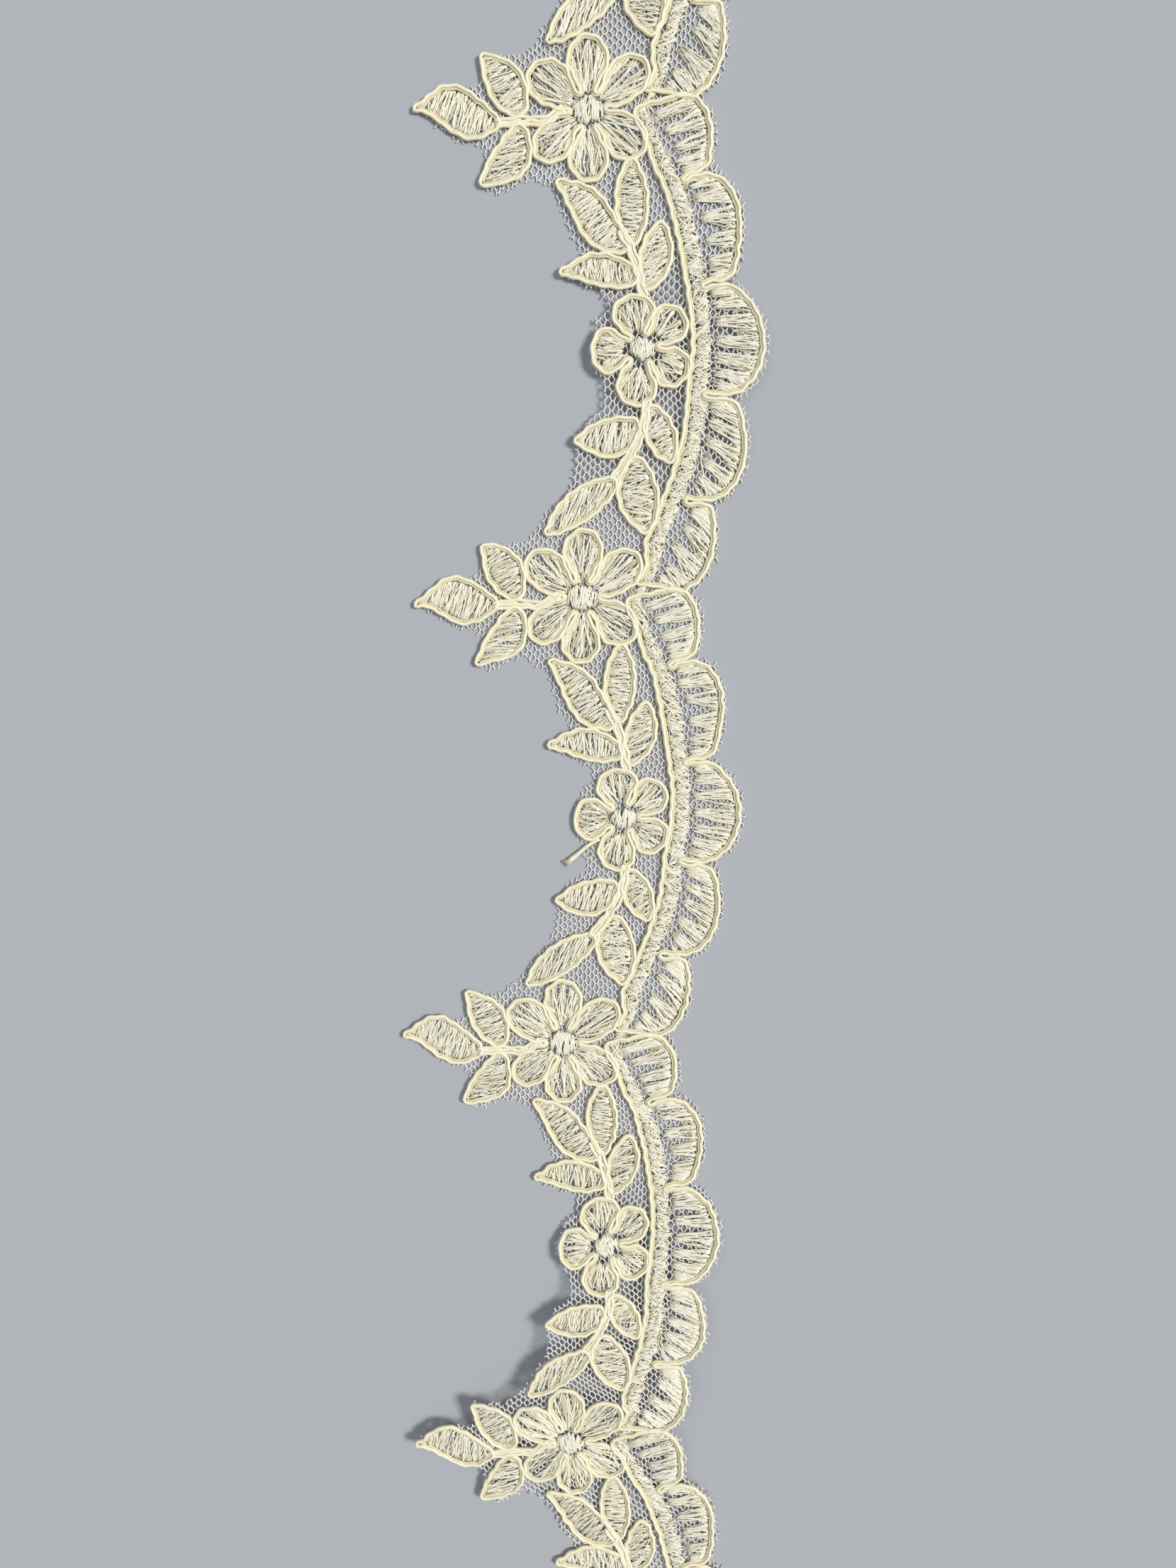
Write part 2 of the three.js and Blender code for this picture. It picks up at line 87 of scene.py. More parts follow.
LOWER_LEAVES = [
    Leaf((4.9, -53.0), (-6.2, -61.8), 5.2, 0.95, 0.6, 0.7, -0.3, 0, 68, 10),
    Leaf((7.3, -49.3), (9.4, -61.2), 6.6, 1.0, 0.65, 0.65, -0.4, 0, 4, 24),
    Leaf((8.3, -45.1), (-2.1, -47.9), 6.1, 0.9, 0.55, 0.85, 0.7, 0, 80, 9),
    Leaf((9.3, -41.9), (12.9, -50.6), 5.1, 1.0, 0.6, 0.6, 0, 0, 35, 40),
]
LOWER_STEM = [(8.9, -41.6), (8.5, -45.4), (6.8, -49.2), (4.0, -53.3)]
TOP_END_LEAVES = 2  # how many of these the upper cut leaves

# A petal is a leaf on the boss. bare: how much further out its threads start, least and most.
Petal = namedtuple("Petal", "angle reach wide")
Flower = namedtuple("Flower", "centre boss widest bare petals")
LARGE_FLOWER = Flower((0, 0), 2.35, 1.25, None, [
    Petal(91, 10.7, 6.5),
    Petal(145.5, 10.7, 6.7),
    Petal(220.5, 10.3, 6.0),
    Petal(271, 10.3, 6.4),
    Petal(325, 10.4, 6.7),
    Petal(398, 11.1, 6.4),
])
SMALL_FLOWER = Flower((8.2, -34.0), 2.05, 1.2, (0.3, 0.9), [
    Petal(104, 8.2, 6.9),
    Petal(185, 7.9, 7.2),
    Petal(262, 8.7, 6.4),
    Petal(328, 8.0, 6.4),
    Petal(403, 8.3, 6.3),
])
PETAL_ROOT = 0.95  # of the boss's radius
PETAL_BLUNT = 0.7
PETAL_POINT = 0.5

LOOSE_END_AT = 2  # the repeat with the loose end and the stray curl
LOOSE_END = [(4.6, -37.6), (3.2, -38.4), (1.4, -40.0), (0.1, -41.2)]
STRAY_CURL = [(3.6, -38.6), (3.8, -39.6), (3.3, -40.5), (2.5, -40.5), (2.3, -39.9)]

# header cord's middle line and the width of the stitched band beside it: along, across, band
HEADER = np.array([
    [-0.6, 6.9, 1.3], [-2.9, 8.0, 1.6], [-5.6, 9.1, 1.9], [-7.9, 9.9, 2.2], [-10.4, 11.3, 2.4],
    [-14.6, 12.6, 2.6], [-18.4, 13.6, 2.7], [-22.7, 14.4, 2.5], [-28.7, 15.5, 2.3],
    [-33.3, 15.7, 2.4], [-40.4, 15.0, 2.6], [-46.0, 14.6, 2.6], [-51.0, 13.4, 2.6],
    [-54.5, 12.2, 2.5], [-59.0, 10.7, 2.4], [-62.8, 9.3, 2.3], [-66.0, 9.6, 1.6], [-67.4, 9.0, 1.2],
])
# where the edge cord turns in between two scallops
Notch = namedtuple("Notch", "inner outer")
NOTCHES = [
    Notch((7.1, 0.3), (13.0, 2.3)),
    Notch((14.1, -9.7), (16.9, -8.5)),
    Notch((17.3, -24.7), (20.3, -24.1)),
    Notch((17.6, -40.6), (20.8, -40.8)),
    Notch((15.1, -55.9), (18.3, -56.0)),
    Notch((8.3, -68.4), (14.6, -69.7)),
]
# reach: how far across, at middle. above, below: under 1, that half is rounder. fingers: how many its
# threads make. rise_top, rise_bottom: how far these rise outwards there, in degrees.
Scallop = namedtuple("Scallop", "reach middle above below fingers rise_top rise_bottom")
SCALLOPS = [
    Scallop(18.5, -4.0, 0.7, 0.75, 5, 20, 17),
    Scallop(22.9, -16.0, 0.9, 0.85, 6, 12, 3),
    Scallop(26.6, -33.0, 1.3, 1.1, 7, 14, -18),
    Scallop(24.2, -48.0, 0.8, 1.0, 6, -12, -40),
    Scallop(20.1, -61.0, 0.8, 1.1, 7, -45, -42),
]

# the net's edge on the leaf side
NET_EDGE = [
    (-7.6, 9.7), (-10.2, 7.7), (-12.6, 7.6), (-15.4, 7.6), (-15.8, 4.3), (-16.6, 3.1), (-19.0, 2.8),
    (-23.0, 1.8), (-25.6, -0.1), (-23.9, -1.2), (-21.6, -2.5), (-19.6, -4.1), (-16.0, -4.9),
    (-15.0, -6.4), (-15.8, -10.6), (-13.2, -11.6), (-10.6, -10.3), (-8.6, -9.5), (-6.6, -10.1),
    (-5.0, -11.6), (-4.0, -13.4), (-2.6, -17.4), (-1.0, -19.6), (-1.0, -21.0), (-4.0, -23.0),
    (-1.5, -24.4), (1.6, -25.4), (3.1, -26.6), (3.4, -28.2), (1.4, -30.0), (0.7, -33.2),
    (1.3, -37.8), (2.7, -38.9), (2.8, -42.6), (0.4, -44.6), (-1.8, -47.6), (-1.7, -50.2),
    (-2.0, -53.2), (-2.9, -55.3), (-4.8, -57.3),
]

# ---- heights over the surface, along the middle of each ----
Z_NET = 0.12
Z_DIP = 0.2  # where a stitch turns
Z_UNDER = 0.28
Z_CROSSING = Z_UNDER - 0.04
SHADED_BELOW = 0.36  # stitches under this take the darker thread: painted shade in the gaps between the threads above
Z_THREAD = 0.45
Z_LOWER = Z_THREAD - 0.05
Z_MIDDLE = Z_THREAD - 0.03
Z_BOSS = 0.4
Z_COMPANION = 0.42
Z_CORD = 0.5
BOSS_RISE = 0.55  # how far a boss bulges
STEM_SINK = 0.12  # a stem's third cord, under the other two

# ---- cord ----
OUTLINE = 0.86  # the cord and its companion together
CORD = 0.62
CORD_STEP = 0.45  # between two places along it
CORD_OUT = 0.11  # outside of the outline's middle
CORD_SWAY = 0.11  # to and fro
CORD_RISE = 0.04  # up and down
CORD_SWELL = 0.05  # of its width
SWING = (0.3, 1.3)  # one swing, least and most, of their size
SWING_UNEVEN = 0.4
CORD_FLAT = 0.95  # its height, of its width
STITCH = 1.15  # from one stitch that holds it to the next
TURN = 0.42  # how tightly it turns back on itself
STEM_GAP = 0.48  # half of the way between a stem's two cords
STEM_STEP = 0.8
COMPANION = 0.36  # the thinner cord along its inside
COMPANION_IN = 0.3  # inside of the outline's middle
COMPANION_STEP = 0.6
COMPANION_PITCH = 1.3 * STITCH
COMPANION_SWAY = 0.05
HAIRPIN_HALF = 0.43  # half of the way across its hairpin between two petals
HAIRPIN = [(0.3, 0.75), (0.8, 1.0), (1.7, 1.0)]  # from the boss, and how much of that half
HAIRPIN_END = 0.05  # from the boss
HALF_PETAL = [0.52, 0.66, 0.79, 0.9, 0.97]  # places on a petal's rim, of its length
NOTCH_HALF = 0.4  # half of the way across its hairpin in a notch
NOTCH_END = 0.42  # how far past the notch's inner end it turns
ARCH_CORD = np.linspace(0.08, 0.92, 9)  # its places along a scallop
LOOSE_WIDE = 0.9  # the loose end's width at its start, of the cord's
LOOSE_OPENS = 0.5  # how much wider it is at its tip
LOOSE_LOWER = 0.1
LOOSE_RISE = 0.05
LOOSE_FLAT = 0.85
FIBRES = 60
FIBRE = 0.09
FIBRE_PLACES = 5
FIBRE_FROM = -0.6  # from the tip
FIBRE_LONG = (0.3, 1.0)  # beyond the tip, least and most
FIBRE_HALF = 0.3  # half of the width of them all
FIBRE_SPREAD = 0.45
FIBRE_SPREAD_UNEVEN = 0.12
FIBRE_LEVEL = (-0.25, 0.15)
FIBRE_CRINKLE = 0.03
CURL = 1.6 * FIBRE
CURL_STEP = 0.2

# ---- thread ----
THREAD = 0.245
THREAD_UNEVEN = 0.1
THREAD_FLAT = 0.9  # its height, of its width
STEP = 0.66  # between two places along a stitch
CRINKLE = 0.16
LEVEL_UNEVEN = 0.03
WEAVE = 0.07  # up and down through each other
DIP = 0.5  # over this length a stitch dips into the net
SKIPPED = 0.03  # the share left out
PAIRED = 0.3  # how much closer every second one is, of the pitch
PITCH_UNEVEN = 0.12
ROW_FIRST = 0.4  # how far in the first and the last stitch lie, of the pitch
ROW_LAST = 0.2

LEAF_STEPS = 16  # places along each side of its outline
LEAF_IN = 0.52  # how far its threads stay inside of its outline
LEAF_PITCH = 0.46
LEAF_MIX = 0.7
# height, turn from the leaf's lie, and how much more mixed
LEAF_LAYERS = [(Z_UNDER, 12, 12), (Z_UNDER, -10, 8), (Z_LOWER, 0, 2), (Z_THREAD, 0, 0)]

PETAL_IN = 0.55
PETAL_PITCH = 0.52
PETAL_TURN = 5
PETAL_MIXED = 12
PETAL_LAYERS = [Z_UNDER, Z_MIDDLE]
FAN_OVER = 0.03  # how far the fan of threads lies over the others
FAN_THREADS = 2.2  # for each millimetre of a petal's width
FAN_UNEVEN = 0.09
FAN_ROOT = (-0.6, 0.2)  # where a thread starts, from the boss's rim, least and most
FAN_LATE = 0.3  # the share of threads that start further out
FAN_LATE_ROOT = (0.8, 2.4)
FAN_FOOT = 0.85  # half of its width at the boss
FAN_WIDENS = 0.3  # wider, for each millimetre further out
FAN_END = 0.97  # where the middle thread ends, of the petal's length
FAN_SIDE = 0.43  # how much sooner the outermost ones end
FAN_CURVE = 1.5  # how late that sets in
FAN_END_UNEVEN = 0.05
FAN_EARLY = 0.2  # the share of threads that end sooner still
FAN_EARLY_BY = 0.2
FAN_IN = 0.6
FAN_MIDDLE = 0.3  # the share of its width where threads end evenly spread, not on the rim
FAN_MIDDLE_HALF = 1.2

BOSS_PLACES = 24
BOSS_UNEVEN = (0.9, 1.07)  # its radius, least and most
BOSS_PITCH = 0.31
BOSS_MIXED = 9
BOSS_LIES = [80, 101, 92]

HEADER_HALF = 0.5
BAND_START = 0.4  # from the header cord's middle
BAND_OVER = 0.1  # wider than the band
BAND_PITCH = 0.43
BAND_MIX = 0.75  # along the strip
BAND_UNEVEN = 0.08
BAND_PAST_CUT = 3
# from and to, of the band's width, and height
BAND_LAYERS = [
    (0.0, 1.0, Z_UNDER),
    (0.0, 0.7, Z_UNDER),
    (0.3, 1.0, Z_UNDER),
    (0.0, 1.0, Z_LOWER),
    (0.0, 0.6, Z_MIDDLE),
    (0.0, 1.0, Z_THREAD),
    (0.4, 1.05, Z_THREAD),
]

FINGER_LAYERS = [(Z_UNDER, 6), (Z_MIDDLE, 6), (Z_THREAD, 7)]  # height, turns of its thread
FINGER_FROM = 0.04  # where the first finger starts along the rim
FINGER_SPAN = 0.92  # the share of the rim they take
LAST_SPAN = 1.1  # in the last scallop, with the notch below it
FINGER_SHARE = 0.47  # half of one, of the way to the next
FINGER_STRAY = 0.08
FINGER_UNEVEN = 0.04
FINGER_IN = 0.7
FINGER_GAP = 0.8  # from the band, at most
FINGER_LEAST = 2.0  # across
FINGER_CLEAR = 1.2  # from the notches
FINGER_HALF = 0.52  # half of its width at the band
FINGER_ROUND = 0.4  # how round it is there
RIM_START = 0.02
RIM_END = 0.98  # where the rim turns into the notch below
RIM_TURN = 0.4
RIM_LAYERS = [Z_UNDER, Z_LOWER]
RIM_TURNS = 46
RIM_SPAN = (0.04, 0.96)  # from and to
RIM_UNEVEN = 0.006
RIM_IN = 0.65
RIM_MIXED = 16
RIM_LONG = (1.2, 2.8)  # its stitches, least and most
RIM_SHARE = 0.6  # the most of the way to the band they take
CROSSING_ARCH = np.linspace(0.08, 0.92, 15)
CROSSING_IN = 0.8
CROSSING_LIE = 30  # degrees, at most
CROSSING_PITCH = 0.9
CROSSING_MIXED = 25
# stitched corners above and below the first notch's cord: top, bottom, from, to, turns
CORNERS = [(1.9, 0.2, 7.6, 13.0, 20), (-0.3, -2.5, 8.3, 10.3, 9), (-0.4, -1.6, 8.8, 12.6, 13)]
CORNER_UNEVEN = 0.15

# ---- net ----
NET_COLUMN = 0.68  # cell to cell across
NET_CELL = 1.24  # cell to cell along
NET_FLAT = 0.18  # half of a cell's flat top
NET_STRAND = 0.28
NET_LEFT = -29
NET_RIGHT = 30
NET_PAST_CUT = 2
NET_MARGIN = 0.45  # outside of the edge cord
NET_ARCH = np.linspace(0, 1, 15)  # places along a scallop
NET_PULLS = [(3.1, 0.06), (5.3, 0.1), (9.7, 0.16)]  # length and size of its waves
CUT_STRAND = (0.35, 1.15)  # what is left of a cut strand, least and most
CUT_UNEVEN = 0.06


# ---- laying the pattern down ----
def directions(turn):
    return np.stack([-np.sin(turn), np.cos(turn)], -1)


def middle_line(along):
    """The strip's middle line, a smooth curve through its large flowers, and its turn there."""
    place_on = np.clip(-along / REPEAT, 0, FLOWERS - 1)
    k = np.minimum(np.floor(place_on).astype(int), FLOWERS - 2)
    t = place_on - k
    turns = np.radians(LAY[:, 2])
    h10 = (t * (1 - t) ** 2)[..., None]
    h01 = (t * t * (3 - 2 * t))[..., None]
    h11 = (t * t * (t - 1))[..., None]
    a = LAY[k, :2]
    b = LAY[k + 1, :2]
    point = a + (b - a) * h01 - REPEAT * (directions(turns[k]) * h10 + directions(turns[k + 1]) * h11)
    beyond = along + place_on * REPEAT
    point = point + beyond[..., None] * directions(turns[k + np.rint(t).astype(int)])
    return point, turns[k] + (turns[k + 1] - turns[k]) * t


def lay(across, along):
    k = np.clip(np.rint(-along / REPEAT), 0, FLOWERS - 1).astype(int)
    beyond_root = np.maximum(0, (SWING_ROOT - across) / SWING_REACH)
    slid = 0.5 * (1 + np.cos(np.pi * np.clip((along - SLIP_ALONG) / SLIP_REACH, -1, 1)))
    point, turn = middle_line(along + LAY[k, 3] * beyond_root + SLIP_DOWN * slid)
    return point + (across + SLIP_ACROSS * slid)[..., None] * np.stack([np.cos(turn), np.sin(turn)], -1)


def lift(y):
    z = np.zeros_like(y)
    for low, high, height in HUMPS:
        t = np.clip((y - low) / (high - low), 0, 1)
        z += height * 0.5 * (1 - np.cos(2 * np.pi * t))
    return z


def place(points):
    """(across, along, height) of the pattern, in metres of the CAD's frame."""
    xy = lay(points[..., 0], points[..., 1])
    z = lift(xy[..., 1]) + points[..., 2]
    return np.concatenate([xy + SHIFT, z[..., None]], -1) * MM


# ---- curves ----
FINE = 12  # places worked out between two given ones
FEWEST = 3  # steps of the shortest path
TINY = 1e-9  # where a length might be nothing


def smooth(points, spacing, closed=False):
    """Even places on a smooth curve through these points."""
    p = np.asarray(points, float)
    if closed:
        p = np.vstack([p[-1], p, p[0], p[1]])
    else:
        p = np.vstack([2 * p[0] - p[1], p, 2 * p[-1] - p[-2]])
    d = np.maximum(np.linalg.norm(np.diff(p, axis=0), axis=1), TINY)[:, None]
    slope = np.diff(p, axis=0) / d
    tangent = (slope[:-1] * d[1:] + slope[1:] * d[:-1]) / (d[:-1] + d[1:])
    a = p[1:-2]
    b = p[2:-1]
    long = d[1:-1]
    t = (np.arange(FINE) / FINE)[None, :, None]
    fine = (
        a[:, None] * (1 + 2 * t) * (1 - t) ** 2
        + b[:, None] * t * t * (3 - 2 * t)
        + (long * tangent[:-1])[:, None] * t * (1 - t) ** 2
        + (long * tangent[1:])[:, None] * t * t * (t - 1)
    ).reshape(-1, p.shape[1])
    return even(np.vstack([fine, b[-1:]]), spacing)


def even(fine, spacing):
    s = lengths(fine)
    n = max(FEWEST, int(round(s[-1] / spacing)))
    at = np.linspace(0, s[-1], n + 1)
    return np.stack([np.interp(at, s, fine[:, i]) for i in range(fine.shape[1])], -1)


def heading(degrees):
    angle = math.radians(degrees)
    return np.array([math.cos(angle), math.sin(angle)])


def left_of(run):
    return np.array([-run[1], run[0]])


def lengths(path):
    return np.concatenate([[0], np.cumsum(np.linalg.norm(np.diff(path[:, :2], axis=0), axis=1))])


def sideways(path):
    along = np.gradient(path[:, :2], axis=0)
    along /= np.maximum(np.linalg.norm(along, axis=1), TINY)[:, None]
    return np.stack([-along[:, 1], along[:, 0]], -1)


def in_turn(first, second):
    """Every second row from each."""
    return np.where((np.arange(len(first)) % 2 == 0)[:, None], first, second)


def waver(s, pitch, size):
    """Offsets along s that swing to and fro about once a pitch, never quite evenly."""
    n = 2 * max(1, int(round(s[-1] / pitch))) + 1
    knots = np.linspace(0, s[-1], n)
    swing = size * np.resize([1, -1], n) * rng.uniform(*SWING, n)
    swing = swing + rng.normal(0, size * SWING_UNEVEN, n)
    swing[-1] = swing[0]
    at = np.interp(s, knots, np.arange(n))
    i = np.minimum(at.astype(int), n - 2)
    t = at - i
    t = t * t * (3 - 2 * t)
    return swing[i] * (1 - t) + swing[i + 1] * t


def clipped(path, *along_it):
    """The stretches of a path, and of what is given along it, that the two cuts leave."""
    inside = (path[:, 1] < CUT_TOP) & (path[:, 1] > CUT_BOTTOM)
    edges = np.nonzero(np.diff(np.concatenate([[0], inside.astype(int), [0]])))[0]
    ends = zip(edges[::2], edges[1::2])
    return [[path[a:b]] + [values[a:b] for values in along_it] for a, b in ends if b - a > FEWEST]


def chord(outline, foot, run):
    """Where a line through foot crosses a closed outline first and last, or None."""
    off = (outline - foot) @ left_of(run)
    beyond = np.roll(off, -1)
    hit = np.nonzero((off < 0) != (beyond < 0))[0]
    if len(hit) < 2:
        return None
    t = (off[hit] / (off[hit] - beyond[hit]))[:, None]
    points = outline[hit] * (1 - t) + np.roll(outline, -1, 0)[hit] * t
    order = np.argsort(points @ run)
    return points[order[0]], points[order[-1]]


def zigzag(outline, lie, pitch, mixed):
    """The turns of a thread to and fro across a closed outline, at about this angle."""
    step = left_of(heading(lie))
    centre = outline.mean(0)
    low = ((outline - centre) @ step).min()
    high = ((outline - centre) @ step).max()
    levels = np.arange(low + pitch * ROW_FIRST, high - pitch * ROW_LAST, pitch)
    levels[1::2] -= pitch * PAIRED
    levels = levels + rng.normal(0, pitch * PITCH_UNEVEN, len(levels))
    rows = [chord(outline, centre + level * step, heading(lie + rng.normal(0, mixed))) for level in levels]
    rows = [row for row in rows if row is not None]
    return np.array([row[i % 2] for i, row in enumerate(rows)]).reshape(-1, 2)


# ---- pieces ----
TIP_LONG = 0.6  # the point that closes a tube, of its half width
TEXTURE_SHIFT = 50  # along a tube, at most


class Piece:
    """One mesh made of tubes."""

    def __init__(self, name, slot, materials, nodes):
        self.name = name
        self.slot = slot
        self.materials = materials
        self.nodes = nodes
        self.verts = []
        self.faces = []
        self.uvs = []
        self.kinds = []
        self.count = 0

    def tubes(self, paths, wide, high, section, material=0, ends=True, closed=False):
        """paths: (number, points, 3) of the pattern. section: the angles of a tube's corners."""
        at = place(paths)
        m, n, _ = at.shape
        k = len(section)
        if closed:
            run = np.roll(at, -1, 1) - np.roll(at, 1, 1)
        else:
            run = np.gradient(at, axis=1)
        run /= np.maximum(np.linalg.norm(run, axis=2, keepdims=True), TINY)
        side = np.cross(run, [0.0, 0.0, 1.0])
        side /= np.maximum(np.linalg.norm(side, axis=2, keepdims=True), TINY)
        up = np.cross(side, run)
        wide = np.broadcast_to(np.asarray(wide, float) * MM / 2, (m, n))[..., None, None]
        high = np.broadcast_to(np.asarray(high, float) * MM / 2, (m, n))[..., None, None]
        ring = (
            at[:, :, None]
            + side[:, :, None] * np.cos(section)[None, None, :, None] * wide
            + up[:, :, None] * np.sin(section)[None, None, :, None] * high
        )
        index = self.count + np.arange(m * n * k).reshape(m, n, k)
        self.verts.append(ring.reshape(-1, 3))
        self.count += m * n * k
        rows = np.arange(n if closed else n - 1)
        a = index[:, rows]
        b = index[:, (rows + 1) % n]
        quads = np.stack([a, b, np.roll(b, -1, 2), np.roll(a, -1, 2)], -1).reshape(-1, 4)
        step = np.linalg.norm(np.diff(at, axis=1, append=at[:, :1]), axis=2)
        s = np.concatenate([np.zeros((m, 1)), np.cumsum(step, 1)], 1) / MM
        s = s + rng.uniform(0, TEXTURE_SHIFT, (m, 1))
        self.add_faces(quads, self.around(s, rows, k), material)
        if ends and not closed:
            for row, turn in ((0, 1), (n - 1, -1)):
                tip = at[:, row] - turn * run[:, row] * wide[:, row, 0] * TIP_LONG
                self.add_end(tip, index[:, row], turn, s[:, row].mean(), material)

    def around(self, s, rows, k):
        """The faces' texture places: s in millimetres along the tube, and 0 to 1 around it."""
        shape = (len(s), len(rows), k)
        s0 = np.broadcast_to(s[:, rows][..., None], shape)
        s1 = np.broadcast_to(s[:, rows + 1][..., None], shape)
        v0 = np.broadcast_to(np.arange(k) / k, shape)
        v1 = v0 + 1 / k
        return np.stack([np.stack(c, -1) for c in ((s0, v0), (s1, v0), (s1, v1), (s0, v1))], -2)

    def add_end(self, tips, rims, turn, s, material):
        """A short point that closes one end of each tube."""
        first = self.count + np.arange(len(tips))
        self.verts.append(tips)
        self.count += len(tips)
        fan = np.stack([np.broadcast_to(first[:, None], rims.shape), rims, np.roll(rims, -1, 1)], -1)
        fan = fan[..., ::turn].reshape(-1, 3)
        self.add_faces(fan, np.zeros((len(fan), 3, 2)) + s, material)

    def add_faces(self, faces, uvs, material):
        self.faces.append(faces)
        self.uvs.append(uvs.reshape(-1, 2))
        self.kinds.append(np.full(len(faces), material))

    def finish(self):
        mesh = bpy.data.meshes.new(self.name)
        verts = np.vstack(self.verts)
        mesh.vertices.add(len(verts))
        mesh.vertices.foreach_set("co", verts.ravel())
        sizes = np.concatenate([np.full(len(f), f.shape[1]) for f in self.faces])
        corners = np.concatenate([f.ravel() for f in self.faces])
        starts = np.concatenate([[0], np.cumsum(sizes)[:-1]])
        mesh.loops.add(len(corners))
        mesh.loops.foreach_set("vertex_index", corners.astype(np.int32))
        mesh.polygons.add(len(sizes))
        mesh.polygons.foreach_set("loop_start", starts.astype(np.int32))
        mesh.polygons.foreach_set("material_index", np.concatenate(self.kinds).astype(np.int32))
        mesh.polygons.foreach_set("use_smooth", np.ones(len(sizes), bool))
        layer = mesh.uv_layers.new(name="along")
        layer.data.foreach_set("uv", np.vstack(self.uvs).ravel())
        mesh.update(calc_edges=True)
        mesh.validate()
        for material in self.materials:
            mesh.materials.append(material)
        piece = bpy.data.objects.new(self.name, mesh)
        bpy.context.collection.objects.link(piece)
        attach(piece, "root")
        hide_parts(*self.nodes)
        return piece


def round_section(corners, turn=math.pi / 2):
    return turn + 2 * np.pi * np.arange(corners) / corners


THREAD_SECTION = round_section(4)
STRAND_SECTION = round_section(3)
COMPANION_SECTION = round_section(5)
CORD_SECTION = round_section(8, 0.0)


# ---- cord and thread ----
def add_cord(piece, points, closed=False, lower=0.0):
    """The outline cord along these points and, inside of a closed outline, its companion."""
    path = smooth(points, CORD_STEP, closed)
    s = lengths(path)
    left = sideways(path)
    inside = 0.0
    if closed:
        x, y = path.T
        inside = np.sign(np.sum(x * np.roll(y, -1) - y * np.roll(x, -1)))
    flat = path[:, :2] + left * (waver(s, 2 * STITCH, CORD_SWAY) - inside * CORD_OUT)[:, None]
    high = Z_CORD - lower + waver(s, 3 * STITCH, CORD_RISE)
    wide = CORD * (1 + waver(s, STITCH, CORD_SWELL))
    for run, w in clipped(np.column_stack([flat, high]), wide):
        whole = closed and len(run) == len(path)
        if whole:
            run = run[:-1]
            w = w[:-1]
        piece.tubes(run[None], w[None], w[None] * CORD_FLAT, CORD_SECTION, closed=whole)
    if closed:
        off = inside * (CORD_OUT + COMPANION_IN) + waver(s, COMPANION_PITCH, COMPANION_SWAY)
        beside = np.column_stack([flat + left * off[:, None], high - Z_CORD + Z_COMPANION])
        for (run,) in clipped(beside):
            piece.tubes(even(run, COMPANION_STEP)[None], COMPANION, COMPANION, COMPANION_SECTION, 1)


def add_stitches(piece, corners, height, dome=None):
    """One thread to and fro through these turns, where it dips into the net. A few are skipped."""
    # lower stitches take the second, darker thread, which is painted shade
    in_shade = 1 if height < SHADED_BELOW else 0
    skipped = np.nonzero(rng.uniform(0, 1, len(corners) - 1) < SKIPPED)[0] + 1
    for turns in np.split(corners, skipped):
        if len(turns) < 2:
            continue
        flat = []
        depth = []
        for start, end in zip(turns[:-1], turns[1:]):
            long = np.linalg.norm(end - start)
            n = max(2, int(round(long / STEP)))
            t = np.arange(n) / n
            flat.append(start + (end - start) * t[:, None])
            depth.append(np.minimum(t, 1 - t) * long)
        flat = np.vstack(flat + [turns[-1:]])
        depth = np.concatenate(depth + [[0]])
        flat = flat + rng.normal(0, CRINKLE, flat.shape)
        flat[1:-1] = (flat[:-2] + 2 * flat[1:-1] + flat[2:]) / 4
        level = height + rng.normal(0, LEVEL_UNEVEN) + rng.uniform(-WEAVE, WEAVE, len(flat))
        z = Z_DIP + (level - Z_DIP) * np.clip(depth / DIP, 0, 1)
        if dome is not None:
            z = z + dome(flat)
        thick = THREAD * rng.normal(1, THREAD_UNEVEN, len(flat))
        for run, w in clipped(np.column_stack([flat, z]), thick):
            piece.tubes(run[None], w[None], w[None] * THREAD_FLAT, THREAD_SECTION, in_shade)


# ---- leaves and stems ----
def moved(points, start):
    return [(across, along + start) for across, along in points]


def leaf_line(leaf, t, side, grow, least=0.0):
    """Places on a leaf's outline: t from its base to its tip, side -1 or 1, no narrower than least."""
    base = np.array(leaf.base)
    axis = np.array(leaf.tip) - base
    long = np.linalg.norm(axis)
    axis = axis / long
    t = np.asarray(t, float)
    sharp = leaf.blunt + (leaf.point - leaf.blunt) * t
    full = np.sin(np.pi * np.clip(t, 0, 1) ** leaf.widest) ** sharp
    end = np.clip(np.minimum(t, 1 - t) * long / TURN, 0, 1)
    half = np.maximum((leaf.wide / 2 + grow) * full, least * np.sqrt(end * (2 - end)))
    off = side * half + leaf.bow * np.sin(np.pi * t) + leaf.sway * np.sin(2 * np.pi * t)
    on = -grow + t * (long + 2 * grow)
    return base + on[:, None] * axis + off[:, None] * left_of(axis)


def leaf_outline(leaf, grow, least=0.0):
    t = (1 - np.cos(np.pi * np.arange(LEAF_STEPS + 1) / LEAF_STEPS)) / 2
    return np.vstack([leaf_line(leaf, t, -1, grow, least), leaf_line(leaf, t[1:-1][::-1], 1, grow, least)])


def add_leaf(fill, cord, leaf, start):
    base, tip = moved([leaf.base, leaf.tip], start)
    if min(base[1], tip[1]) > CUT_TOP or max(base[1], tip[1]) < CUT_BOTTOM:
        return
    leaf = leaf._replace(base=base, tip=tip)
    inside = leaf_outline(leaf, -LEAF_IN)
    for height, turn, more in LEAF_LAYERS:
        mixed = leaf.mixed * LEAF_MIX + more
        add_stitches(fill, zigzag(inside, leaf.lie + turn, LEAF_PITCH, mixed), height)
    add_cord(cord, leaf_outline(leaf, -OUTLINE / 2, TURN), closed=True)


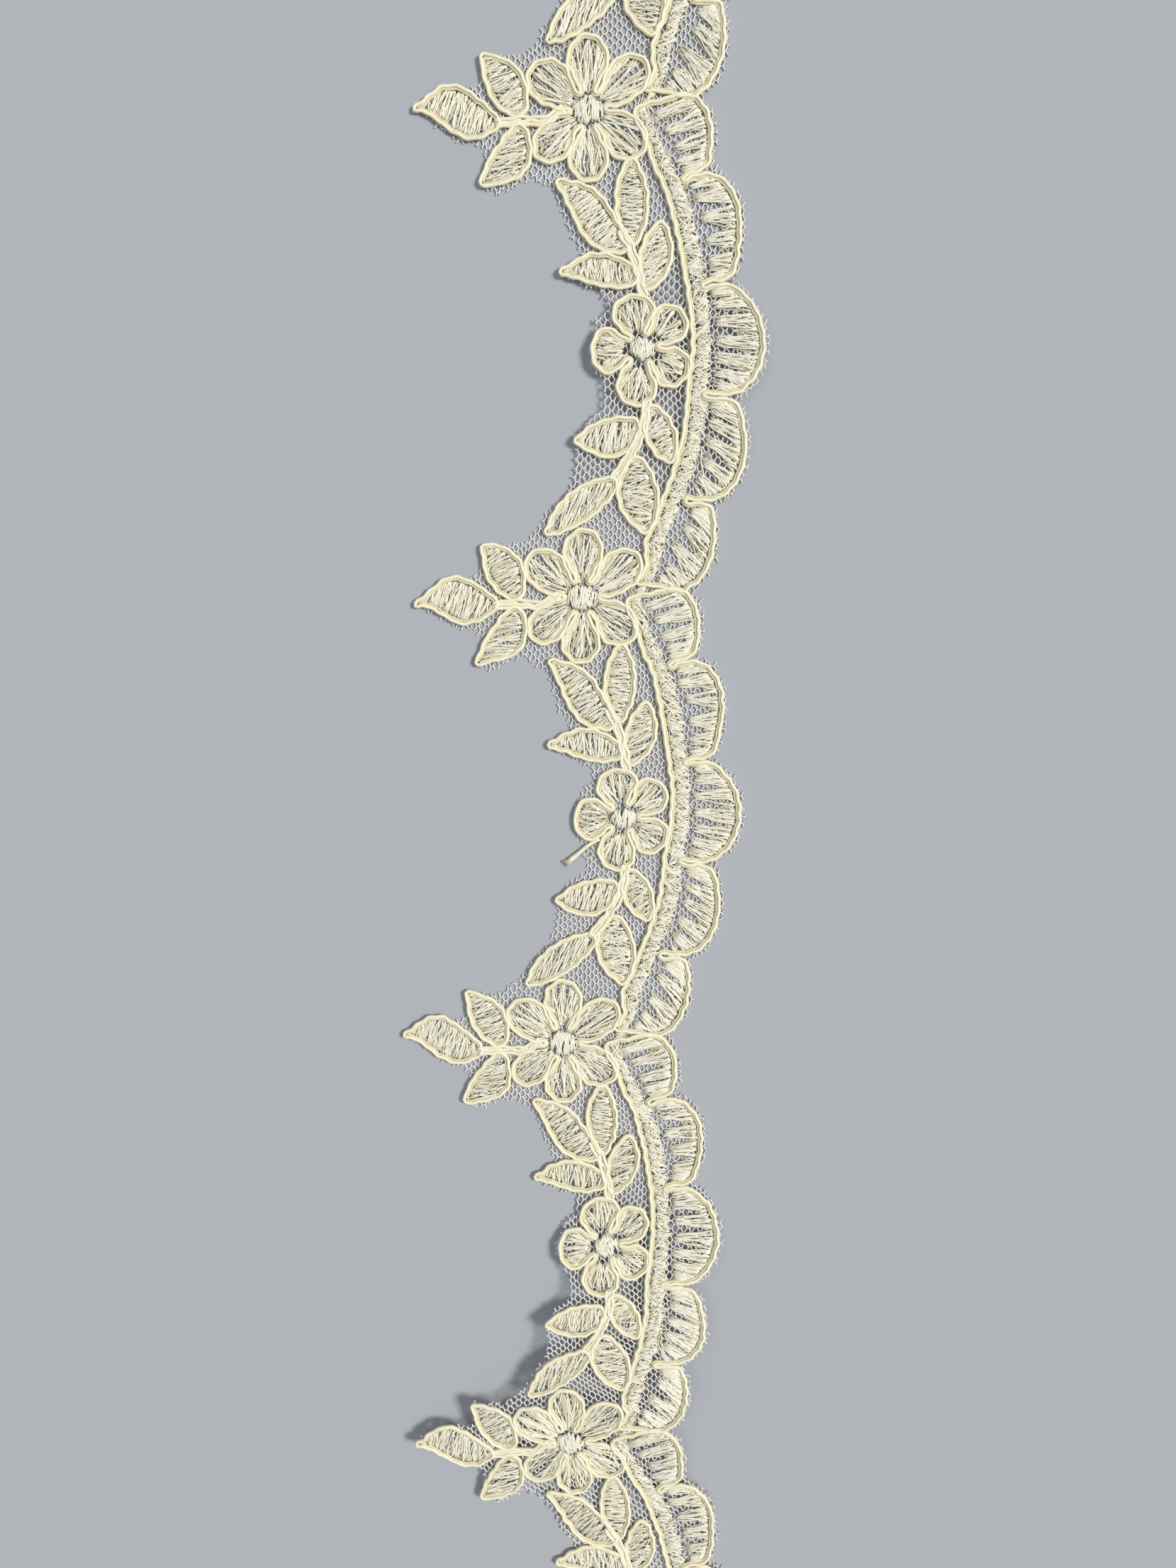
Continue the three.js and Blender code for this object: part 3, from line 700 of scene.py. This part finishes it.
def add_stem(cord, stem, start):
    """Two cords side by side over a third."""
    middle = smooth(moved(stem, start), STEM_STEP)
    for aside in (-STEM_GAP, STEM_GAP):
        add_cord(cord, middle + aside * sideways(middle))
    add_cord(cord, middle, lower=STEM_SINK)


def add_loose_end(cord, start):
    """A cord that leaves its outline, untwisted into fibres at its end."""
    path = smooth(moved(LOOSE_END, start), CORD_STEP)
    open_up = np.linspace(0, 1, len(path))
    wide = CORD * (LOOSE_WIDE + LOOSE_OPENS * open_up**2)
    high = Z_CORD - LOOSE_LOWER + waver(lengths(path), 2 * STITCH, LOOSE_RISE)
    cord.tubes(np.column_stack([path, high])[None], wide[None], wide[None] * LOOSE_FLAT, CORD_SECTION)
    end = path[-1]
    run = (end - path[-2]) / np.linalg.norm(end - path[-2])
    for _ in range(FIBRES):
        aside = rng.uniform(-1, 1)
        turn = FIBRE_SPREAD * aside + rng.normal(0, FIBRE_SPREAD_UNEVEN)
        t = np.linspace(FIBRE_FROM, rng.uniform(*FIBRE_LONG), FIBRE_PLACES)[:, None]
        off = aside * FIBRE_HALF + turn * np.maximum(t, 0)
        flat = end + run * t + left_of(run) * off + rng.normal(0, FIBRE_CRINKLE, (FIBRE_PLACES, 2))
        high = Z_CORD + rng.uniform(*FIBRE_LEVEL) + rng.normal(0, FIBRE_CRINKLE, (FIBRE_PLACES, 1))
        cord.tubes(np.hstack([flat, high])[None], FIBRE, FIBRE, STRAND_SECTION)


def add_curl(fill, start):
    path = smooth(moved(STRAY_CURL, start), CURL_STEP)
    level = np.full(len(path), Z_THREAD)
    fill.tubes(np.column_stack([path, level])[None], CURL, CURL, THREAD_SECTION)


# ---- flowers ----
def petal_leaf(flower, centre, petal):
    out = heading(petal.angle)
    base = centre + flower.boss * PETAL_ROOT * out
    tip = centre + petal.reach * out
    shape = (petal.wide, flower.widest, PETAL_BLUNT, PETAL_POINT, 0, 0)
    return Leaf(base, tip, *shape, petal.angle, PETAL_MIXED)


def petal_fan(flower, centre, petal):
    """The turns of a thread between the boss and a petal's rim, spread like a fan."""
    leaf = petal_leaf(flower, centre, petal)
    out = heading(petal.angle)
    left = left_of(out)
    n = int(round(petal.wide * FAN_THREADS))
    s = np.linspace(-1, 1, n) + rng.normal(0, FAN_UNEVEN, n)
    late = rng.uniform(0, 1, n) < FAN_LATE
    root = np.where(late, rng.uniform(*FAN_LATE_ROOT, n), rng.uniform(*FAN_ROOT, n))
    if flower.bare:
        root = root + rng.uniform(*flower.bare)
    aside = s * (FAN_FOOT + FAN_WIDENS * root)
    near = centre + (flower.boss + root)[:, None] * out + aside[:, None] * left
    early = rng.uniform(0, 1, n) < FAN_EARLY
    t = FAN_END - FAN_SIDE * np.clip(np.abs(s), 0, 1) ** FAN_CURVE
    t = t - rng.uniform(0, FAN_END_UNEVEN, n) - FAN_EARLY_BY * early
    far = np.array([leaf_line(leaf, [ti], np.sign(si), -FAN_IN)[0] for ti, si in zip(t, s)])
    middle = centre + ((far - centre) @ out)[:, None] * out
    outer = np.clip(np.abs(s) / FAN_MIDDLE, 0, 1)[:, None]
    far = middle + (far - middle) * outer + left * (s * FAN_MIDDLE_HALF)[:, None] * (1 - outer)
    return in_turn(near, far)


def half_petal(leaf, centre, boss, gap, side):
    """The cord along one side of a petal, from the hairpin at this angle to near the rim's middle."""
    out = heading(gap)
    off = -side * HAIRPIN_HALF * left_of(out)
    inner = [centre + out * (boss + away) + off * share for away, share in HAIRPIN]
    return inner + list(leaf_line(leaf, HALF_PETAL, side, -OUTLINE / 2))


def flower_path(flower, centre):
    """One line round all petals, with a hairpin towards the boss between each two."""
    angles = [petal.angle for petal in flower.petals]
    angles = [angles[-1] - 360] + angles + [angles[0] + 360]
    path = []
    for i, petal in enumerate(flower.petals):
        leaf = petal_leaf(flower, centre, petal)
        before = (angles[i] + petal.angle) / 2
        after = (petal.angle + angles[i + 2]) / 2
        path += half_petal(leaf, centre, flower.boss, before, -1)
        path.append(leaf_line(leaf, [1.0], 1, -OUTLINE / 2)[0])
        path += half_petal(leaf, centre, flower.boss, after, 1)[::-1]
        path.append(centre + heading(after) * (flower.boss + HAIRPIN_END))
    return path


def add_petals(fill, flower, centre):
    for petal in flower.petals:
        leaf = petal_leaf(flower, centre, petal)
        inside = leaf_outline(leaf, -PETAL_IN)
        for height in PETAL_LAYERS:
            lie = leaf.lie + rng.normal(0, PETAL_TURN)
            add_stitches(fill, zigzag(inside, lie, PETAL_PITCH, leaf.mixed), height)
            add_stitches(fill, petal_fan(flower, centre, petal), height + FAN_OVER)


def add_boss(fill, centre, boss):
    ring = np.linspace(0, 2 * np.pi, BOSS_PLACES, endpoint=False)
    radius = boss * rng.uniform(*BOSS_UNEVEN, BOSS_PLACES)
    disc = centre + radius[:, None] * np.column_stack([np.cos(ring), np.sin(ring)])

    def bulge(p):
        out = np.linalg.norm(p - centre, axis=-1) / boss
        return BOSS_RISE * np.sqrt(np.clip(1 - out**2, 0, 1))

    for lie in BOSS_LIES:
        add_stitches(fill, zigzag(disc, lie, BOSS_PITCH, BOSS_MIXED), Z_BOSS, dome=bulge)


def add_flower(fill, cord, flower, start):
    centre = np.array(flower.centre) + [0, start]
    add_petals(fill, flower, centre)
    add_cord(cord, flower_path(flower, centre), closed=True)
    add_boss(fill, centre, flower.boss)


# ---- header and scallops ----
def header(along, column):
    """The header cord's across, or its band's width, at a place along the strip."""
    v = -np.mod(-np.asarray(along, float), REPEAT)
    table = HEADER[np.argsort(HEADER[:, 0])]
    table = np.vstack([table[-1:] - [REPEAT, 0, 0], table, table[:1] + [REPEAT, 0, 0]])
    return np.interp(v, table[:, 0], table[:, column])


def band_edge(along):
    return header(along, 1) + HEADER_HALF + header(along, 2)


def arch(i, t, grow):
    """The scallop between two notches, t from 0 at the upper one to 1 at the lower one."""
    scallop = SCALLOPS[i]
    half = np.minimum(t, 1 - t) * np.pi
    at_top = t < 0.5
    foot = np.where(at_top[:, None], NOTCHES[i].outer, NOTCHES[i + 1].outer)
    full = np.sin(half) ** np.where(at_top, scallop.above, scallop.below)
    u = foot[:, 0] + (scallop.reach + grow - foot[:, 0]) * full
    spread = np.where(at_top, 1, -1) * grow
    v = foot[:, 1] + spread + (scallop.middle - foot[:, 1] - spread) * (1 - np.cos(half))
    return np.stack([u, v], -1)


def scallop_path(start):
    """Header and edge cord of a repeat are one closed line."""
    path = []
    down = np.array([0, -NOTCH_HALF])
    for i, (above, below) in enumerate(zip(NOTCHES, NOTCHES[1:])):
        inner, outer = np.array(above)
        next_inner, next_outer = np.array(below)
        path += [inner + down, (inner + outer) / 2 + down]
        path += list(arch(i, ARCH_CORD, -OUTLINE / 2))
        path += [(next_inner + next_outer) / 2 - down, next_inner - down]
        if i < len(SCALLOPS) - 1:
            path.append(next_inner - np.array([NOTCH_END, 0]))
    path += [np.array([across, along]) for along, across, _ in HEADER[::-1]]
    return np.array(path) + [0, start]


def notch_line(i, across):
    (u0, v0), (u1, v1) = NOTCHES[i]
    return np.interp(across, [u0, u1], [v0, v1])


def rim_line(i, t, grow):
    """The rim of a scallop and, beyond its end, the cord of the notch below it."""
    u0 = NOTCHES[i + 1].outer[0]
    u1 = NOTCHES[i + 1].inner[0]
    u = u0 + (u1 - u0) * np.clip((t - RIM_END) / RIM_TURN, 0, 1)
    beside = np.column_stack([u, notch_line(i + 1, u) - grow])
    return np.where((t < RIM_END)[:, None], arch(i, np.clip(t, RIM_START, RIM_END), grow), beside)


def finger(i, f, n):
    """The turns of a thread between the band and the rim: one finger, round at its end."""
    scallop = SCALLOPS[i]
    span = LAST_SPAN if i == len(SCALLOPS) - 1 else FINGER_SPAN
    s = np.linspace(-1, 1, n) + rng.normal(0, FINGER_UNEVEN, n)
    middle = FINGER_FROM + span * (f + 0.5 + rng.uniform(-FINGER_STRAY, FINGER_STRAY)) / scallop.fingers
    outer = rim_line(i, middle + s * FINGER_SHARE * span / scallop.fingers, -FINGER_IN)
    rise = scallop.rise_top + (scallop.rise_bottom - scallop.rise_top) * min(middle, 1)
    slope = math.tan(math.radians(rise))
    rim = outer.mean(0)
    u = band_edge(rim[1] - slope * (rim[0] - band_edge(rim[1]))) + rng.uniform(0, FINGER_GAP)
    u = min(u, rim[0] - FINGER_LEAST)
    v = rim[1] - slope * (rim[0] - u)
    v = min(max(v, notch_line(i + 1, u) + FINGER_CLEAR), notch_line(i, u) - FINGER_CLEAR)
    foot = np.array([u, v])
    run = rim - foot
    run /= np.linalg.norm(run)
    inner = foot + np.outer(s * FINGER_HALF, left_of(run)) + np.outer(s * s * FINGER_ROUND, run)
    # the rim runs downwards, so both ends must follow the same side
    if (outer[-1] - outer[0]) @ left_of(run) < 0:
        inner = inner[::-1]
    return in_turn(inner, outer)


def rim_stitches(i):
    """The turns of a thread along a rim, in short stitches."""
    scallop = SCALLOPS[i]
    t = np.linspace(*RIM_SPAN, RIM_TURNS) + rng.normal(0, RIM_UNEVEN, RIM_TURNS)
    rim = arch(i, t, -RIM_IN)
    rise = scallop.rise_top + (scallop.rise_bottom - scallop.rise_top) * t
    slope = np.tan(np.radians(rise + rng.normal(0, RIM_MIXED, RIM_TURNS)))
    long = np.minimum(rng.uniform(*RIM_LONG, RIM_TURNS), (rim[:, 0] - band_edge(rim[:, 1])) * RIM_SHARE)
    inner = rim - np.column_stack([long, slope * long])
    return in_turn(inner, rim)


def crossing_stitches(i):
    """The turns of a thread across the gaps between the fingers, far apart."""
    inside = arch(i, CROSSING_ARCH, -CROSSING_IN)
    return zigzag(inside, rng.uniform(-CROSSING_LIE, CROSSING_LIE), CROSSING_PITCH, CROSSING_MIXED)


def corner_stitches(top, bottom, first, last, n):
    across = np.linspace(first, last, n)
    along = np.where(np.arange(n) % 2, bottom, top) + rng.normal(0, CORNER_UNEVEN, n)
    return np.column_stack([across, along])


def scallop_threads(piece, start):
    shift = np.array([0, start])
    for i, scallop in enumerate(SCALLOPS):
        for f in range(scallop.fingers):
            for height, n in FINGER_LAYERS:
                add_stitches(piece, finger(i, f, n) + shift, height)
        for height in RIM_LAYERS:
            add_stitches(piece, rim_stitches(i) + shift, height)
        add_stitches(piece, crossing_stitches(i) + shift, Z_CROSSING)
    for corner in CORNERS:
        add_stitches(piece, corner_stitches(*corner) + shift, Z_UNDER)


def band_threads(piece):
    """Layers of stitches to and fro between the header cord and the band's far edge."""
    for low, high, height in BAND_LAYERS:
        v = np.arange(CUT_TOP + BAND_PAST_CUT, CUT_BOTTOM - BAND_PAST_CUT, -BAND_PITCH)
        v = v + rng.normal(0, BAND_MIX, len(v))
        part = np.where(np.arange(len(v)) % 2, high, low) + rng.normal(0, BAND_UNEVEN, len(v))
        u = header(v, 1) + BAND_START + part * (header(v, 2) + BAND_OVER)
        add_stitches(piece, np.column_stack([u, v]), height)


# ---- the net ----
def net_outline():
    left = []
    right = []
    for start in STARTS:
        left += moved(NET_EDGE, start)
        for i in range(len(SCALLOPS)):
            right += moved(arch(i, NET_ARCH, NET_MARGIN), start)
    return np.array(left + right[::-1])


def within(points, outline):
    x, y = points.T
    hits = np.zeros(len(points), int)
    for (x0, y0), (x1, y1) in zip(outline, np.roll(outline, -1, 0)):
        if y0 == y1:
            continue
        crosses = (y0 > y) != (y1 > y)
        hits += crosses & (x < x0 + (x1 - x0) * (y - y0) / (y1 - y0))
    return hits % 2 == 1


def pulled(points):
    """The net as the stitches pull it: slow, small moves."""
    result = points.copy()
    for wave, size in NET_PULLS:
        for axis in (0, 1):
            angle, phase = rng.uniform(0, 2 * np.pi, 2)
            run = points[..., 0] * math.cos(angle) + points[..., 1] * math.sin(angle)
            result[..., axis] += size * np.sin(2 * np.pi * run / wave + phase)
    return result


def net_cells():
    """Three strands of every cell of the net. Its neighbours have the others."""
    columns = np.arange(NET_LEFT, NET_RIGHT, NET_COLUMN)
    rows = np.arange(CUT_BOTTOM - NET_PAST_CUT, CUT_TOP + NET_PAST_CUT, NET_CELL)
    u, v = np.meshgrid(columns, rows, indexing="ij")
    v = v + (np.arange(len(columns)) % 2)[:, None] * NET_CELL / 2
    centre = np.stack([u.ravel(), v.ravel()], -1)
    half = NET_CELL / 2
    wide = NET_COLUMN - NET_FLAT
    corners = [
        ((-NET_FLAT, half), (NET_FLAT, half)),
        ((NET_FLAT, half), (wide, 0)),
        ((wide, 0), (NET_FLAT, -half)),
    ]
    return pulled(np.concatenate([centre[:, None] + np.array(c)[None] for c in corners]))


def net_strands(piece):
    strands = net_cells()
    uncut = (strands[..., 1] < CUT_TOP).all(1) & (strands[..., 1] > CUT_BOTTOM).all(1)
    strands = strands[uncut]
    outline = net_outline()
    a_in = within(strands[:, 0], outline)
    b_in = within(strands[:, 1], outline)
    whole = strands[a_in & b_in]
    # strands that the scissors cut keep a short, uneven end
    loose = strands[a_in != b_in]
    first = a_in[a_in != b_in][:, None]
    root = np.where(first, loose[:, 0], loose[:, 1])
    tip = np.where(first, loose[:, 1], loose[:, 0])
    left = rng.uniform(*CUT_STRAND, (len(root), 1))
    tip = root + (tip - root) * left + rng.normal(0, CUT_UNEVEN, root.shape)
    for group in (whole, np.stack([root, tip], 1)):
        z = np.full(group.shape[:2] + (1,), Z_NET)
        piece.tubes(np.concatenate([group, z], -1), NET_STRAND, NET_STRAND, STRAND_SECTION, ends=False)


# ---- materials ----
SHEEN_ROUGHNESS = 0.4
YARN_SHEEN = 0.2
CORD_SHEEN = 0.3
NET_SHEEN = 0.25
GRAIN_DETAIL = 3.0
PLIES = 2
CREST_SHADE = 0.55  # a ply's crest over the hollow beside it; the hollows are darkened as painted shade
HOLLOW_SHADE = 0.15
GRAIN_SHADE = 0.5


def material(name, colour, roughness, sheen):
    made = bpy.data.materials.new(name)
    made.use_nodes = True
    sockets = made.node_tree.nodes["Principled BSDF"].inputs
    sockets["Base Color"].default_value = (*colour, 1)
    sockets["Roughness"].default_value = roughness
    sockets["Sheen Weight"].default_value = sheen
    sockets["Sheen Roughness"].default_value = SHEEN_ROUGHNESS
    return made


def node(tree, kind, values, sources, **props):
    """The outputs of a new shader node with these values and sources at its inputs."""
    made = tree.nodes.new(kind)
    for key, value in props.items():
        setattr(made, key, value)
    for key, value in values.items():
        made.inputs[key].default_value = value
    for key, source in sources.items():
        tree.links.new(source, made.inputs[key])
    return made.outputs


def math_node(tree, operation, *inputs):
    """One step of arithmetic on sockets and numbers."""
    values = {i: x for i, x in enumerate(inputs) if isinstance(x, float)}
    sources = {i: x for i, x in enumerate(inputs) if not isinstance(x, float)}
    return node(tree, "ShaderNodeMath", values, sources, operation=operation)[0]


def tube_places(tree):
    """Millimetres along a tube, and 0 to 1 around it."""
    uv = node(tree, "ShaderNodeUVMap", {}, {}, uv_map="along")["UV"]
    split = node(tree, "ShaderNodeSeparateXYZ", {}, {0: uv})
    return split["X"], split["Y"]


def grain(tree, scale, roughness):
    where = node(tree, "ShaderNodeTexCoord", {}, {})["Object"]
    values = {"Scale": scale, "Detail": GRAIN_DETAIL, "Roughness": roughness}
    return node(tree, "ShaderNodeTexNoise", values, {"Vector": where})["Fac"]


def colour_by(tree, factor, low, high):
    """The base colour, blended between two colours, each given as (factor, colour)."""
    ramp = tree.nodes.new("ShaderNodeValToRGB")
    for element, (position, colour) in zip(ramp.color_ramp.elements, (low, high)):
        element.position = position
        element.color = (*colour, 1)
    tree.links.new(factor, ramp.inputs[0])
    tree.links.new(ramp.outputs["Color"], tree.nodes["Principled BSDF"].inputs["Base Color"])


def relief(tree, height, strength, distance):
    values = {"Strength": strength, "Distance": distance}
    normal = node(tree, "ShaderNodeBump", values, {"Height": height})["Normal"]
    tree.links.new(normal, tree.nodes["Principled BSDF"].inputs["Normal"])


def twisted(name, light, dark, roughness, twist, bump):
    """Yarn of plies twisted together: twist is the length of a turn in millimetres."""
    made = material(name, light, roughness, YARN_SHEEN)
    tree = made.node_tree
    along, around = tube_places(tree)
    # the hollows between plies are darkened as painted shade; the grain adds the yarn's own uneven tone
    turns = math_node(tree, "ADD", math_node(tree, "MULTIPLY", along, 1 / twist), around)
    wave = math_node(tree, "SINE", math_node(tree, "MULTIPLY", turns, 2 * math.pi * PLIES))
    crest = node(tree, "ShaderNodeMapRange", {"From Min": -1.0}, {"Value": wave})[0]
    shade = math_node(tree, "MULTIPLY_ADD", crest, CREST_SHADE, HOLLOW_SHADE)
    both = math_node(tree, "MULTIPLY_ADD", grain(tree, scale=900.0, roughness=0.6), GRAIN_SHADE, shade)
    colour_by(tree, both, low=(0.2, dark), high=(0.75, light))
    relief(tree, both, strength=bump, distance=0.08 * MM)
    return made


CORD_TOP = 0.25  # how far around its section a cord's top is, where its painted highlight runs
CORD_GRAIN = 0.12


def cord_yarn():
    """Soft cord, with a painted highlight along its top and painted shade down its flanks."""
    top = (0.95, 0.91, 0.71)
    shaded_flank = (0.82, 0.75, 0.48)
    made = material("cord_yarn", top, roughness=0.6, sheen=CORD_SHEEN)
    tree = made.node_tree
    _, around = tube_places(tree)
    # paler at the top and darker down the flanks: painted highlight and shade, with the grain's own uneven
    # tone mixed in
    off = math_node(tree, "ABSOLUTE", math_node(tree, "SUBTRACT", around, CORD_TOP))
    fuzz = grain(tree, scale=1500.0, roughness=0.6)
    both = math_node(tree, "MULTIPLY_ADD", fuzz, CORD_GRAIN, off)
    colour_by(tree, both, low=(0.09, top), high=(0.24, shaded_flank))
    relief(tree, fuzz, strength=0.25, distance=0.06 * MM)
    return made


def companion_yarn():
    light = (0.84, 0.78, 0.52)
    dark = (0.71, 0.64, 0.39)
    return twisted("companion_cord", light, dark, roughness=0.6, twist=0.8, bump=0.3)


def fill_yarn():
    light = (0.97, 0.945, 0.80)
    dark = (0.84, 0.79, 0.59)
    return twisted("fill_thread", light, dark, roughness=0.28, twist=0.9, bump=0.5)


# A darker copy of the fill thread for the lower stitches: painted shade between the threads over them.
def shaded_under_yarn():
    light = (0.78, 0.73, 0.52)
    dark = (0.56, 0.51, 0.33)
    return twisted("shaded_under_thread", light, dark, roughness=0.5, twist=0.9, bump=0.5)


def net_yarn():
    light = (0.93, 0.92, 0.88)
    dark = (0.85, 0.83, 0.78)
    made = material("net_strand", light, roughness=0.55, sheen=NET_SHEEN)
    tree = made.node_tree
    fuzz = grain(tree, scale=500.0, roughness=0.5)
    colour_by(tree, fuzz, low=(0.35, dark), high=(0.65, light))
    relief(tree, fuzz, strength=0.3, distance=0.05 * MM)
    return made


CORD_YARNS = [cord_yarn(), companion_yarn()]
FILL_YARNS = [fill_yarn(), shaded_under_yarn()]


# ---- assembly ----
def lay_net():
    net = Piece("net", "net", [net_yarn()], ["net_ground"])
    net_strands(net)
    net_object = net.finish()


def embroider(k, start):
    """The flowers and sprays of one repeat. Of the first, the upper cut leaves part of a spray."""
    names = ["lower_spray"] if k == 0 else ["large_flower", "tip_spray", "upper_spray"]
    if 0 < k < FLOWERS:
        names += ["small_flower", "lower_spray"]
    fill = Piece(f"embroidery_{k}", "fill", FILL_YARNS, [f"{n}_{k}_fill" for n in names])
    cord = Piece(f"outline_{k}", "cord", CORD_YARNS, [f"{n}_{k}_cord" for n in names])
    if k > 0:
        add_flower(fill, cord, LARGE_FLOWER, start)
        for leaf in TIP_LEAVES + UPPER_LEAVES:
            add_leaf(fill, cord, leaf, start)
        add_stem(cord, TIP_STEM, start)
        add_stem(cord, UPPER_STEM, start)
    if 0 < k < FLOWERS:
        add_flower(fill, cord, SMALL_FLOWER, start)
    if k == LOOSE_END_AT:
        add_loose_end(cord, start)
        add_curl(fill, start)
    if k < FLOWERS:
        for leaf in LOWER_LEAVES[: TOP_END_LEAVES if k == 0 else None]:
            add_leaf(fill, cord, leaf, start)
        add_stem(cord, LOWER_STEM, start)
    fill.finish()
    cord.finish()


def fill_scallops(k, start):
    piece = Piece(f"scallop_threads_{k}", "fill", FILL_YARNS, [f"scallop_fill_{k}"])
    scallop_threads(piece, start)
    piece.finish()


def cord_edge():
    edge = Piece("edge_cord", "cord", CORD_YARNS, ["header_cord", "scallop_cord"])
    for start in STARTS:
        add_cord(edge, scallop_path(start), closed=True)
    edge.finish()


def stitch_band():
    band = Piece("header_stitches", "fill", FILL_YARNS, ["header_band"])
    band_threads(band)
    band.finish()


lay_net()
for k, start in enumerate(STARTS):
    embroider(k, start)
    fill_scallops(k, start)
cord_edge()
stitch_band()

# ---- stage, light and camera ----
HALF_FLOOR = 5.0  # metres
FLOOR_LEVEL = -0.1 * MM
FLOOR_GREY = (0.44, 0.46, 0.49)
SKY = (0.9, 0.93, 1.0)
SKY_STRENGTH = 0.36
CAMERA_AT = (10.49, 28.19, 183.14)  # millimetres
CAMERA_LOOK = (-0.0466, -0.1144, -0.9923)
CAMERA_UP = (-0.0054, 0.9934, -0.1143)
CAMERA_LENS = 27.03


def add_floor():
    corners = [(-1, -1), (1, -1), (1, 1), (-1, 1)]
    verts = [(x * HALF_FLOOR, y * HALF_FLOOR, FLOOR_LEVEL) for x, y in corners]
    mesh = bpy.data.meshes.new("floor")
    mesh.from_pydata(verts, [], [(0, 1, 2, 3)])
    mesh.materials.append(material("floor", FLOOR_GREY, roughness=0.9, sheen=0.0))
    floor = bpy.data.objects.new("floor", mesh)
    bpy.context.collection.objects.link(floor)


def soft_light(name, where, spread, strength, colour):
    """Even light from one side: the wider its spread in radians, the softer its shadows."""
    data = bpy.data.lights.new(name, "SUN")
    data.angle = spread
    data.energy = strength
    data.color = colour
    light = bpy.data.objects.new(name, data)
    light.location = where
    light.rotation_euler = (-Vector(where)).to_track_quat("-Z", "Y").to_euler()
    bpy.context.collection.objects.link(light)


def add_studio():
    soft_light("key", (0.75, 0.12, 0.80), spread=0.28, strength=2.6, colour=(1.0, 0.98, 0.95))
    soft_light("fill", (-0.6, 0.5, 1.0), spread=0.75, strength=0.25, colour=(0.96, 0.98, 1.0))
    world = bpy.data.worlds.new("studio")
    world.use_nodes = True
    sockets = world.node_tree.nodes["Background"].inputs
    sockets["Color"].default_value = (*SKY, 1)
    sockets["Strength"].default_value = SKY_STRENGTH
    bpy.context.scene.world = world
    bpy.context.scene.view_settings.view_transform = "Standard"


def add_camera():
    data = bpy.data.cameras.new("camera")
    data.lens = CAMERA_LENS
    camera = bpy.data.objects.new("camera", data)
    look = Vector(CAMERA_LOOK).normalized()
    right = look.cross(Vector(CAMERA_UP)).normalized()
    up = right.cross(look)
    turn = Matrix((right, up, -look)).transposed().to_4x4()
    camera.matrix_world = Matrix.Translation(Vector(CAMERA_AT) * MM) @ turn
    bpy.context.collection.objects.link(camera)
    bpy.context.scene.camera = camera


add_floor()
add_studio()
add_camera()
